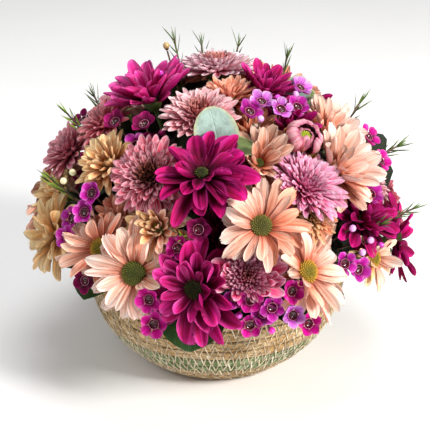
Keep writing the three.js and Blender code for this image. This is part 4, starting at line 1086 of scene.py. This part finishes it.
def add_needle(skin, root, aim, length, width, tint, rng):
    """One narrow leaf, keeled, slightly curved and pointed."""
    u, v, n = axes_along(aim)
    spans = np.array([0, 0.3, 0.65, 1.0])
    half = width / 2 * np.array([0.7, 1.0, 0.85, 0.12])
    bend = 0.08 * length * rng.uniform(0.2, 1.0)
    spine = root + np.outer(spans * length, n) + np.outer(bend * spans**2, u)
    angles = ring_angles(4)
    points = spine[:, None] + half[:, None, None] * fanned(v, 0.5 * u, angles)[None]
    skin.add(points, four_sided(4), tint, round_marks(angles, spans, rng.uniform(0, 1)), GREEN)


def add_needles(skin, tip, start, palette, rng):
    """Needle leaves in crossed pairs on the last part of a twig, and a tuft at its tip."""
    u, v, n = axes_along(tip - start)
    green = LIME_NEEDLE if palette == "lime" else NEEDLE_GREEN
    for pair in range(5):
        base = tip - n * (2.0 + NEEDLE_SPACING * pair)
        turn = pair * 90 * DEG + 0.5 * rng.uniform(-1, 1)
        for angle in (turn, turn + math.pi):
            lean = 0.42 + 0.12 * rng.uniform(-1, 1)
            tint = green if rng.uniform(0, 1) > 0.4 else NEEDLE_DARK
            aim = n + lean * swung(u, v, angle)
            add_needle(skin, base, aim, rng.uniform(10, 18), NEEDLE_WIDTH, tint, rng)
    for k in range(3):
        aim = n + 0.16 * swung(u, v, FULL_TURN * k / 3)
        add_needle(skin, tip - 0.6 * n, aim, rng.uniform(7, 12), 1.1, green, rng)


def column(tip, wide):
    """The space round a small flower and in front of it, which petals stay out of."""
    u, v, n = axes_along(tip - FOCUS)
    rounds = [swung(u, v, angle) for angle in np.linspace(0, FULL_TURN, 9)]
    rows = [(-4.0, 0.3 * wide), (0.0, wide), (14.0, 0.8 * wide), (14.0, 0.0)]
    return np.array([[tip + height * n + radius * side for side in rounds] for height, radius in rows])


def wax_skin(name, turn, rise, tips, index):
    """A waxflower spray, and the space that its flowers and buds take."""
    rng, leaf_rng = (np.random.default_rng(seed + index) for seed in (WAX_SEED, WAX_LEAF_SEED))
    skin = Skin()
    out, mouth, foot = footing(turn, rise)
    split = mouth + out * BRANCHING_HEIGHT
    add_stem_leaves(skin, np.array([mouth, split]), leaf_rng, LEAVES_ON_TWIG)
    add_gap_leaves(skin, name, out, mouth, WAX_GAP_SEED + index)
    tube(skin, [foot, mouth, split], THIN_STEM_RADIUS, 7, TWIG, capped=False)
    spaces = []
    for k, (kind, *spot, palette) in enumerate(tips):
        tip = place(*spot)
        fork = split + out * (1 - BRANCHING_STEP * min(k, 5)) if k else split
        end = tip - unit(tip - FOCUS) * 4.0 if kind != "needles" else tip
        middle = (fork + end) / 2 + out * 1.5
        tube(skin, [fork - out * 0.5, middle, end], TWIG_RADII, 6, TWIG)
        if kind == "needles":
            add_needles(skin, tip, middle, palette, rng)
        else:
            (add_wax_flower if kind == "flower" else add_bud)(skin, tip, palette, rng)
            spaces.append(column(tip, FLOWER_SPACE if kind == "flower" else BUD_SPACE))
    return skin, spaces


# Collar leaves: the turn and rise of each, its length and its width
COLLAR = {
    "collar_leaf_front": [(-9, 12.5, 49, 50)],
    "collar_leaves_right": [(22, 13, 46, 30), (46, 18, 56, 36)],
    "collar_leaves_back_right": [(88, 14, 60, 38), (118, 14, 60, 38)],
    "collar_leaves_back": [(152, 14, 60, 38), (182, 14, 60, 38)],
    "collar_leaves_left": [(-118, 14, 60, 38), (-148, 14, 60, 38)],
    "collar_leaves_front_left": [(-46, 15, 50, 36), (-80, 18, 54, 38)],
}

# How far a collar leaf droops to its tip: one of several, and one alone
COLLAR_BEND = 50
LONE_COLLAR_BEND = 110

# Eucalyptus sprigs: their spot, and each leaf's place on the stem, the turn and
# rise that it points to, the turn and rise that it faces, and its size.
EUCALYPTUS = {
    "eucalyptus_upper": (2, 61, 168, [
        (160, -60, 75, -4, 30, 35), (165, 92, 2, 0, 72, 27), (162, -80, 22, -10, 60, 23),
    ]),
    "eucalyptus_right": (86, 69, 162, [(160, 70, 75, 0, 20, 24), (154, 120, 40, 90, 60, 26)]),
    "eucalyptus_back": (-170, 56, 166, [(162, -150, 20, 180, 50, 30), (156, 130, 20, 150, 60, 30)]),
}
EUCALYPTUS_BEND = 24
BEND_START = 0.2
BROAD_COLOURS = (linear("1c3e0a"), linear("3a5c34"))
GREY_GREEN = linear("aac4ba")
GREY_BACK = linear("b0c8b8")
OLIVE = linear("60703e")
MINT = linear("c4d8c8")


@dataclass
class Leaf:
    """A sort of leaf: its edge's colour, and its width along its length as a part of the widest."""

    thickness: float
    fold: float
    edge: np.ndarray
    outline: list


BROAD_LEAF = Leaf(0.8, 0.14, linear("284e1e"), [
    (0, 0.06), (0.14, 0.1), (0.26, 0.42), (0.42, 0.86), (0.55, 1.0), (0.7, 0.94), (0.84, 0.68),
    (0.94, 0.36), (1.0, 0.06),
])
ROUND_LEAF = Leaf(0.7, 0.07, linear("d0ce96"), [
    (0, 0.1), (0.08, 0.5), (0.2, 0.86), (0.32, 1.0), (0.5, 0.98), (0.68, 0.88), (0.84, 0.68),
    (0.95, 0.42), (1.0, 0.18),
])


def add_leaf(skin, sort, base, aim, normal, length, width, bend, colours, rng):
    """A bent blade with a folded rib and a slightly waved edge. Returns some of its points."""
    rows, wide = 14, 9
    span = np.linspace(0, 1, rows)
    across = np.linspace(-1, 1, wide)
    angle = -bend * DEG * np.maximum(span - BEND_START, 0)
    step = np.diff(span, prepend=0)[:, None] * length
    spine = base + np.cumsum(step * fanned(aim, normal, angle), axis=0)
    over = fanned(normal, -aim, angle)[:, None]
    half = np.maximum(np.interp(span, *zip(*sort.outline)) * width / 2, 0.8)
    wave = 0.03 * np.sin(9 * span[:, None] + 2 * across + rng.uniform(0, 6)) * across**2
    side = -unit(np.cross(aim, normal))
    points = blade(spine, side, over, half, across, sort.fold * np.abs(across) + wave)
    below = points - over * (sort.thickness * (1 - 0.7 * across**2))[None, :, None]
    face, back = colours
    marks = blade_marks(across, span, rng.uniform(0, 1))
    faces = grid_faces(rows, wide)
    brim = np.maximum(np.abs(across)[None] ** 12, span[:, None] ** 30)[..., None]
    tints = np.concatenate([mix(face, sort.edge, 0.7 * brim), np.ones((rows, wide, 1))], axis=2)
    skin.add(points, faces, tints.reshape(-1, 4), marks, PETAL)
    skin.add(below, faces[:, ::-1], (*back, 1.0), marks, PETAL)
    grid = np.arange(rows * wide).reshape(rows, wide)
    rim = np.concatenate([grid[0], grid[1:, -1], grid[-1, -2::-1], grid[-2:0:-1, 0]])
    here = np.arange(len(rim))
    after = np.roll(here, -1)
    band = np.column_stack([here, after, after + len(rim), here + len(rim)])
    sides = np.vstack([sheet.reshape(-1, 3)[rim] for sheet in (points, below)])
    skin.add(sides, band, (*mix(face, sort.edge, 0.7), 1.0), np.tile(marks[rim], (2, 1)), PETAL)
    return points[::3, ::4]


def collar_skin(leaves, seed):
    rng = np.random.default_rng(seed)
    skin = Skin()
    out, mouth, foot = footing(sum(leaf[0] for leaf in leaves) / len(leaves), leaves[0][1])
    droop = COLLAR_BEND if len(leaves) > 1 else LONE_COLLAR_BEND
    tube(skin, [foot + out * 0.4, mouth, mouth + out * 6.5], [1.3, 1.3, 1.2], 7, DARK_STEM)
    sheets = []
    for k, (turn, rise, length, width) in enumerate(leaves):
        base = mouth + out * (6 - 5 * k)
        aim = unit(place(turn, rise + 3, 160) - base)
        normal = np.cross(unit(np.cross(aim, UP)), aim)
        sheets.append(add_leaf(
            skin, BROAD_LEAF, base, aim, normal, length, width, droop, BROAD_COLOURS, rng,
        ))
    return skin, sheets


def eucalyptus_skin(turn, rise, reach, leaves, seed):
    rng = np.random.default_rng(seed)
    skin = Skin()
    out, mouth, foot = footing(turn, rise)
    tube(skin, [foot, mouth, place(turn, rise, reach)], [1.1, 1.1, 0.8], 7, LEAF_STEM)
    sheets = []
    tones = ((GREY_GREEN, GREY_BACK), (OLIVE, GREY_GREEN), (MINT, GREY_BACK))
    for (height, aim_turn, aim_rise, face_turn, face_rise, size), colours in zip(leaves, tones):
        aim = heading(aim_turn, aim_rise)
        normal = square_to(aim, heading(face_turn, face_rise))
        base = FOCUS + out * height - aim
        sheets.append(add_leaf(
            skin, ROUND_LEAF, base, aim, normal, size, size * 0.92, EUCALYPTUS_BEND, colours, rng,
        ))
    return skin, sheets


class Look:
    """A material in the making. What a node is given is a number or what another node puts out."""

    def __init__(self, name, roughness, specular=0.4):
        self.material = bpy.data.materials.new(name)
        self.material.use_nodes = True
        self.tree = self.material.node_tree
        self.shader = self.tree.nodes["Principled BSDF"]
        self.shader.inputs["Roughness"].default_value = roughness
        self.shader.inputs["Specular IOR Level"].default_value = specular

    def node(self, kind, given, **settings):
        node = self.tree.nodes.new("ShaderNode" + kind)
        for key, value in settings.items():
            setattr(node, key, value)
        for key, value in given.items():
            if isinstance(value, bpy.types.NodeSocket):
                self.tree.links.new(value, node.inputs[key])
            else:
                node.inputs[key].default_value = value
        return node

    def attribute(self, name):
        return self.node("Attribute", {}, attribute_name=name).outputs

    def noise(self, source, scale, detail=3.0, rough=0.55):
        given = {"Vector": source, "Scale": scale, "Detail": detail, "Roughness": rough}
        return self.node("TexNoise", given).outputs["Fac"]

    def mark_noise(self, stretch, detail=3.0, rough=0.55):
        """Noise that follows a petal, leaf or strip, drawn out along its marks."""
        given = {0: self.attribute("mark")["Vector"], 1: stretch}
        stretched = self.node("VectorMath", given, operation="MULTIPLY")
        return self.noise(stretched.outputs[0], 1.0, detail, rough)

    def place_noise(self, scale, detail, rough=0.55):
        return self.noise(self.node("TexCoord", {}).outputs["Object"], scale, detail, rough)

    def ranged(self, source, low, high, to_low, to_high):
        given = {"Value": source, "From Min": low, "From Max": high, "To Min": to_low, "To Max": to_high}
        return self.node("MapRange", given).outputs["Result"]

    def maths(self, operation, first, second=0.0):
        return self.node("Math", {0: first, 1: second}, operation=operation).outputs[0]

    def shaded(self, colour, factor):
        """A colour made lighter or darker by a factor."""
        return self.node("VectorMath", {0: colour, "Scale": factor}, operation="SCALE").outputs[0]

    def deepened(self, tint, share):
        """A colour that turns into a deeper, richer tone of its own."""
        deep = self.node("VectorMath", {0: tint, 1: tint}, operation="MULTIPLY").outputs[0]
        blend = self.node("Mix", {}, data_type="RGBA")
        for key, value in (("Factor", share), ("A", tint), ("B", deep)):
            self.tree.links.new(value, blend.inputs[key])
        return next(socket for socket in blend.outputs if socket.type == "RGBA")

    def wear(self, colour, height=None, depth=0.0, strength=1.0, glow=0.0):
        """The material with a colour, a bump from a height, and a share of light let through."""
        self.tree.links.new(colour, self.shader.inputs["Base Color"])
        if height:
            bump = self.node("Bump", {"Height": height, "Distance": depth, "Strength": strength})
            self.tree.links.new(bump.outputs[0], self.shader.inputs["Normal"])
        if glow:
            shine = self.node("BsdfTranslucent", {"Color": colour}).outputs[0]
            blend = self.node("MixShader", {0: glow, 1: self.shader.outputs[0], 2: shine})
            output = next(node for node in self.tree.nodes if node.type == "OUTPUT_MATERIAL")
            self.tree.links.new(blend.outputs[0], output.inputs["Surface"])
        return self.material


def petal_material():
    look = Look("petal", 0.6, 0.12)
    tint = look.attribute("tint")
    veins = look.mark_noise((2.9, 0.5, 40.0), 4.0, 0.6)
    lines = look.mark_noise((7.5, 0.6, 40.0), 2.0)
    share = look.maths("MULTIPLY", look.ranged(veins, 0.4, 0.56, 0.6, 0.0), tint["Alpha"])
    colour = look.deepened(tint["Color"], share)
    colour = look.shaded(colour, look.ranged(lines, 0.36, 0.64, 0.74, 1.18))
    height = look.maths("ADD", veins, look.maths("MULTIPLY", lines, 0.6))
    return look.wear(colour, height, 0.001, 1.0, 0.2)


def mottled_material(name, roughness, specular, scale, detail, dark, light, bumps=None):
    """Small blotches over a piece's own tints. bumps are a noise's scale and detail, a depth
    and a strength."""
    look = Look(name, roughness, specular)
    blotches = look.place_noise(scale, detail)
    colour = look.shaded(look.attribute("tint")["Color"], look.ranged(blotches, 0.3, 0.7, dark, light))
    if not bumps:
        return look.wear(colour)
    return look.wear(colour, look.place_noise(*bumps[:2]), *bumps[2:])


def leaf_material(name, roughness, vein_light, glow):
    """A blade with a pale rib, side veins that sweep forward, and fine blotches."""
    look = Look(name, roughness)
    split = look.node("SeparateXYZ", {0: look.attribute("mark")["Vector"]}).outputs
    off_rib = look.maths("ABSOLUTE", split["X"])
    rib = look.ranged(off_rib, 0.0, 0.05, 1.0, 0.0)
    sweep = look.maths("SUBTRACT", split["Y"], look.maths("MULTIPLY", off_rib, 0.28))
    waves = look.maths("SINE", look.maths("MULTIPLY", sweep, 58.0))
    lines = look.maths("MAXIMUM", rib, look.ranged(waves, 0.9, 1.0, 0.0, 0.6))
    blotches = look.mark_noise((3.0, 6.0, 30.0), 5.0, 0.65)
    light = look.ranged(blotches, 0.3, 0.7, 0.72, 1.25)
    factor = look.maths("ADD", light, look.maths("MULTIPLY", lines, vein_light))
    colour = look.shaded(look.attribute("tint")["Color"], factor)
    return look.wear(colour, look.maths("SUBTRACT", blotches, lines), 0.0004, 0.6, glow)


def straw_material(name, roughness):
    """Dry grass: fibres along the strip, darker cracks and pale flecks."""
    look = Look(name, roughness, 0.25)
    fibres = look.mark_noise((0.11, 4.2, 1.0), 5.0, 0.7)
    flecks = look.mark_noise((0.5, 22.0, 1.0), 3.0, 0.6)
    broad = look.mark_noise((0.05, 0.6, 1.0))
    clean = look.maths(
        "MULTIPLY", look.ranged(fibres, 0.42, 0.56, 0.0, 1.0), look.ranged(broad, 0.4, 0.56, 0.12, 1.0),
    )
    colour = look.deepened(look.attribute("tint")["Color"], look.maths("SUBTRACT", 1.0, clean))
    light = look.maths(
        "MULTIPLY", look.ranged(flecks, 0.3, 0.7, 0.66, 1.26), look.ranged(fibres, 0.4, 0.6, 0.68, 1.2),
    )
    return look.wear(look.shaded(colour, light), look.maths("ADD", fibres, flecks), 0.001, 0.9)


def grainy_material(name, base, roughness, scale, depth, dark=0.55, light=1.4):
    """One colour with a fine grain, from darker to lighter."""
    look = Look(name, roughness)
    grain = look.place_noise(scale, 5.0, 0.6)
    ramp = look.node("ValToRGB", {0: grain})
    for stop, at, shade in zip(ramp.color_ramp.elements, (0.3, 0.7), (dark, light)):
        stop.position = at
        stop.color = (*np.clip(linear(base) * shade, 0, 1), 1)
    return look.wear(ramp.outputs[0], grain, depth, 0.8)


STRAW = linear("dec59e")
SAGE = linear("aebc92")
RAFFIA = linear("faf0dc")
BASKET_SIDES = 260
STRIP_LEVELS = (0.0, 0.04, 0.12, 0.2, 0.3, 0.4, 0.5, 0.6, 0.7, 0.8, 0.88, 0.96)
FLOOR_LEVEL = WALL_THICKNESS + 0.02
STITCH_REACH = 0.62
GREEN_STITCH_SHARE = 0.66
WALL_SLOPE = -0.35

# The inside of the wall, down from the rim: the height, how much thinner the
# wall is there, and whether it waves with the rim.
INSIDE = ((BASKET_HEIGHT - 0.4, 1.2, 1), (BASKET_HEIGHT - 3, 0, 1), (50, 0, 0), (30, 0, 0), (15, 0, 0),
          (FLOOR_LEVEL, 0, 0))


def wall_radius(z):
    opening = 1 - np.abs(1 - np.clip(z, 0, BASKET_HEIGHT) / BASKET_HEIGHT) ** WALL_BULGE
    return FOOT_RADIUS + (RIM_RADIUS - FOOT_RADIUS) * opening


def row_height(row):
    return BASKET_HEIGHT * (np.asarray(row, float) / STRIP_ROWS) ** ROW_SPREAD


def round_noise(rng, angles, waves, strength):
    """A smooth uneven line that meets itself after a full turn."""
    total = np.zeros_like(angles)
    for wave in waves:
        total += rng.uniform(0.4, 1.0) * np.sin(wave * angles + rng.uniform(0, FULL_TURN))
    return strength * total / len(waves)


def strip_surface(level, wobble):
    """Radius and height of the sewn wall. A level counts rows up, with its fraction in a row."""
    inside = level - np.minimum(np.floor(level), STRIP_ROWS - 1)
    z = row_height(level)
    swell = STRIP_SWELL * (1.6 * (1 - np.abs(2 * inside - 1) ** 5) - 1)
    strands = 0.22 * np.abs(np.sin(math.pi * STRANDS_IN_STRIP * inside))
    high = np.clip(z / BASKET_HEIGHT, 0, 1)
    return wall_radius(z) + swell + strands + wobble[0] * high, z + wobble[1] * high**2


def around(radius, turns, z):
    """Points at a radius and a height round the basket."""
    return columns(radius * np.sin(turns), -radius * np.cos(turns), z)


def basket_skin():
    rng = np.random.default_rng(BASKET_SEED)
    skin = Skin()
    angles = ring_angles(BASKET_SIDES)
    wobble = (round_noise(rng, angles, (3, 5, 8), 0.5), round_noise(rng, angles, (2, 5, 9, 14), 0.7))

    def add_shell(rings, marks, tint):
        faces = grid_faces(len(rings), BASKET_SIDES, True)[:, ::-1]
        skin.add(np.concatenate(rings), faces, tint, np.concatenate(marks), PETAL)

    levels = [row + inside for row in range(STRIP_ROWS) for inside in STRIP_LEVELS] + [STRIP_ROWS - 0.001]
    rings, tints, marks = [], [], []
    for level in levels:
        radius, z = strip_surface(np.full(BASKET_SIDES, level), wobble)
        radius = radius + 0.12 * rng.uniform(-1, 1, BASKET_SIDES)
        rings.append(around(radius, angles, z))
        inside = level % 1
        crack = 0.5 + 0.5 * smooth(0.0, 0.12, min(inside, 1 - inside))
        colour = (SAGE if int(level) in GREEN_ROWS else STRAW) * crack
        tints.append(np.tile([*colour, 1.0], (BASKET_SIDES, 1)))
        marks.append(columns(angles * RIM_RADIUS, level, 0.0))
    add_shell(rings, marks, np.concatenate(tints))
    inner = [around(wall_radius(z) - WALL_THICKNESS + thinner, angles, z + wobble[1] * waved)
             for z, thinner, waved in INSIDE]
    inner = [rings[-1], *inner, around(0.5, angles, FLOOR_LEVEL)]
    marks = [columns(angles * RIM_RADIUS, 9 + 0.5 * k, 0.0) for k in range(len(inner))]
    # The inside of the wall wears the straw at 0.8: painted shade inside the basket
    add_shell(inner, marks, (*(STRAW * 0.8), 1.0))
    foot = [rings[0] * (share, share, 0.0) for share in (0.01, 0.4, 0.7, 0.9)] + [rings[0]]
    marks = [columns(angles * 20 * (k + 1), 20 + 1.5 * k, 0.0) for k in range(len(foot))]
    # The foot wears the straw at 0.7: painted shade under the basket
    add_shell(foot, marks, (*(STRAW * 0.7), 1.0))
    for join in range(1, STRIP_ROWS):
        add_stitches(skin, join, (angles, wobble), rng)
    add_loose_fibres(skin, (angles, wobble), rng)
    return skin


def lay_strip(skin, wall, levels, turns, lift, width, thickness, tint, number):
    """A flat strip of raffia or grass laid on the wall, some way off it."""
    angles, wobble = wall
    local = [np.interp(turns % FULL_TURN, angles, line, period=FULL_TURN) for line in wobble]
    radius, z = strip_surface(levels, local)
    path = around(radius + lift, turns, z)
    outward = around(1.0, turns, WALL_SLOPE)
    outward = outward / np.linalg.norm(outward, axis=1, keepdims=True)
    side = np.cross(np.gradient(path, axis=0), outward)
    side *= width / 2 / np.linalg.norm(side, axis=1, keepdims=True)
    up = outward * thickness
    corners = np.stack([path - side, path + up, path + side, path - up], axis=1)
    rows = len(path)
    run = np.arange(rows).repeat(4) * 2.0
    marks = columns(run + 40 * number, np.tile([0.0, 0.1, 0.2, 0.1], rows) + 30 * number, 0.0)
    skin.add(corners, four_sided(rows), tint, marks, GREEN)


def add_loose_fibres(skin, wall, rng):
    """Thin ends of grass that have come up from the strips."""
    shares = np.linspace(0, 1, 5)
    for _ in range(LOOSE_FIBRES):
        row = int(rng.integers(0, STRIP_ROWS))
        levels = row + np.clip(rng.uniform(0.2, 0.8) + 0.25 * rng.uniform(-1, 1) * shares, 0.1, 0.9)
        turns = rng.uniform(0, FULL_TURN) + rng.uniform(0.08, 0.2) * rng.choice([-1, 1]) * shares
        lift = 0.25 + rng.uniform(0.2, 1.6) * shares**2
        pale = np.clip((SAGE if row in GREEN_ROWS else STRAW) * rng.uniform(0.5, 1.3), 0, 1)
        width = rng.uniform(0.25, 0.5)
        lay_strip(skin, wall, levels, turns, lift, width, FIBRE_THICKNESS, (*pale, 0.5), rng.uniform(0, 1))


def add_stitches(skin, join, wall, rng):
    """The raffia that sews one row to the next, a zigzag across their join."""
    green = join - 1 in GREEN_ROWS or join in GREEN_ROWS
    pitch = STITCH_PITCH * (GREEN_STITCH_SHARE if green else 1.0)
    count = int(FULL_TURN * wall_radius(row_height(join)) / pitch)
    shift = rng.uniform(0, 1)
    low, high = join - STITCH_REACH, min(join + STITCH_REACH, STRIP_ROWS - 0.12)
    shares = np.linspace(0, 1, 5)
    for k in range(2 * count):
        ends = []
        for step in (k, k + 1):
            level = (low if step % 2 == 0 else high) + 0.06 * math.sin(step * 12.9 + join)
            along = step / 2 + shift + 0.07 * math.sin(step * 7.7 + 3 * join)
            ends.append((level, FULL_TURN * along / count))
        levels, turns = (mix(a, b, shares) for a, b in zip(*ends))
        lift = 0.35 + 0.35 * np.exp(-(((levels - join) / 0.12) ** 2)) + 0.25 * (k % 2)
        pale = mix(STRAW, RAFFIA, 0.9 if green else rng.uniform(0.6, 1.0)) * rng.uniform(0.85, 1.15)
        width = rng.uniform(0.8, 1.3) if green else rng.uniform(0.65, 1.05)
        lay_strip(skin, wall, levels, turns, lift, width, STITCH_THICKNESS, (*pale, 0.5), rng.uniform(0, 1))


# The arrangement

greens = mottled_material("stem", 0.55, 0.4, 140.0, 4.0, 0.68, 1.3, (900.0, 2.0, 0.0003, 0.5))
florets = mottled_material("florets", 0.7, 0.25, 1100.0, 3.0, 0.6, 1.35, (1100.0, 3.0, 0.0004, 0.6))
gloss = mottled_material("wax_gloss", 0.18, 0.6, 500.0, 2.0, 0.75, 1.25)
flower_stuff = [petal_material(), greens, florets, gloss]
broad_stuff = [leaf_material("broad_leaf", 0.5, 0.5, 0.1), greens]
round_stuff = [leaf_material("round_leaf", 0.6, 0.08, 0.15), greens]
basket_stuff = [straw_material("straw", 0.85), straw_material("raffia", 0.6)]

crowd = Crowd()


def finish_piece(skin, node, slot, stuff):
    piece = skin.piece(node + "_fine", stuff)
    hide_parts(node)


finish_piece(basket_skin(), "basket", "straw", basket_stuff)

for index, (name, leaves) in enumerate(COLLAR.items()):
    skin, sheets = collar_skin(leaves, COLLAR_SEED + index)
    crowd.add(sheets)
    finish_piece(skin, name, "broad_leaf", broad_stuff)
for index, (name, sprig) in enumerate(EUCALYPTUS.items()):
    skin, sheets = eucalyptus_skin(*sprig, EUCALYPTUS_SEED + index)
    crowd.add(sheets)
    finish_piece(skin, name, "round_leaf", round_stuff)
for index, (name, spray) in enumerate(WAXFLOWERS.items()):
    skin, spaces = wax_skin(name, *spray, index)
    crowd.add(spaces)
    finish_piece(skin, name, "waxflower", flower_stuff)

for index, (name, (slot, flowers)) in enumerate(SPRAYS.items()):
    skin = Skin()
    first = flowers[0]
    out, mouth, _ = footing(*first.spot[:2])
    add_gap_leaves(skin, name, out, mouth, GAP_SEED + index)
    own_eye = name in OWN_EYES
    for k, flower in enumerate(flowers):
        crowd.add(add_bloom(skin, flower, first, crowd, 10 * index + k, own_eye and k == 0))
    if own_eye:
        eye_skin = Skin()
        eye_rng = np.random.default_rng(index)
        add_eye(eye_skin, *first.head(), OWN_EYE_SIZE * first.radius, OWN_EYE_HEIGHT, first.eye, eye_rng)
        finish_piece(eye_skin, name + "_eye", "flower_eye", flower_stuff)
    finish_piece(skin, name, slot, flower_stuff)

plain = {
    "foam": grainy_material("wet_foam", "162414", 0.9, 420.0, 0.0008),
    "liner": grainy_material("liner_film", "242622", 0.35, 60.0, 0.0004),
}
for name, material in plain.items():
    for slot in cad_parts[name].material_slots:
        slot.material = material

# Floor, light and camera

AIM = Vector((0, 0, 0.116))
PHOTO_SIZE = 430
SENSOR_WIDTH = 36.0
FOCAL_PIXELS = 1337.0
CAMERA_ELEVATION = 24 * DEG
CAMERA_DISTANCE = 1.05
AXIS_PIXEL_X = 217.0
FLOOR_HALF = 6
WORLD_LIGHT = 0.3

floor_mesh = bpy.data.meshes.new("floor")
corners = [(x * FLOOR_HALF, y * FLOOR_HALF, 0) for x, y in ((-1, -1), (1, -1), (1, 1), (-1, 1))]
floor_mesh.from_pydata(corners, [], [(0, 1, 2, 3)])
floor_mesh.materials.append(grainy_material("pale_floor", "f7f7f7", 0.8, 3.0, 0.0002, 0.98, 1.02))
new_object("floor", floor_mesh)


def aimed_object(name, data, spot):
    obj = new_object(name, data)
    obj.location = spot
    obj.rotation_euler = (AIM - obj.location).to_track_quat("-Z", "Y").to_euler()
    return obj


def area_light(name, spot, size, power, colour):
    data = bpy.data.lights.new(name, "AREA")
    data.shape = "DISK"
    data.size = size
    data.energy = power
    data.color = colour
    aimed_object(name, data, spot)


area_light("key", (1.2, -1.0, 1.05), 0.5, 44, (1.0, 0.98, 0.95))
area_light("fill", (-1.2, -0.7, 1.4), 0.9, 9, (0.97, 0.98, 1.0))
area_light("top", (0.1, 0.2, 1.8), 1.2, 16, (1.0, 1.0, 1.0))

world = bpy.data.worlds.new("studio")
bpy.context.scene.world = world
world.use_nodes = True
world.node_tree.nodes["Background"].inputs["Color"].default_value = (1, 1, 1, 1)
world.node_tree.nodes["Background"].inputs["Strength"].default_value = WORLD_LIGHT

camera_data = bpy.data.cameras.new("camera")
camera_data.sensor_width = SENSOR_WIDTH
camera_data.lens = SENSOR_WIDTH * FOCAL_PIXELS / PHOTO_SIZE
camera_data.shift_x = -(AXIS_PIXEL_X - PHOTO_SIZE / 2) / PHOTO_SIZE
camera_back = CAMERA_DISTANCE * math.cos(CAMERA_ELEVATION)
camera_rise = CAMERA_DISTANCE * math.sin(CAMERA_ELEVATION)
camera_spot = AIM + Vector((0, -camera_back, camera_rise))
bpy.context.scene.camera = aimed_object("camera", camera_data, camera_spot)
bpy.context.scene.view_settings.view_transform = "Standard"

bpy.context.view_layer.update()
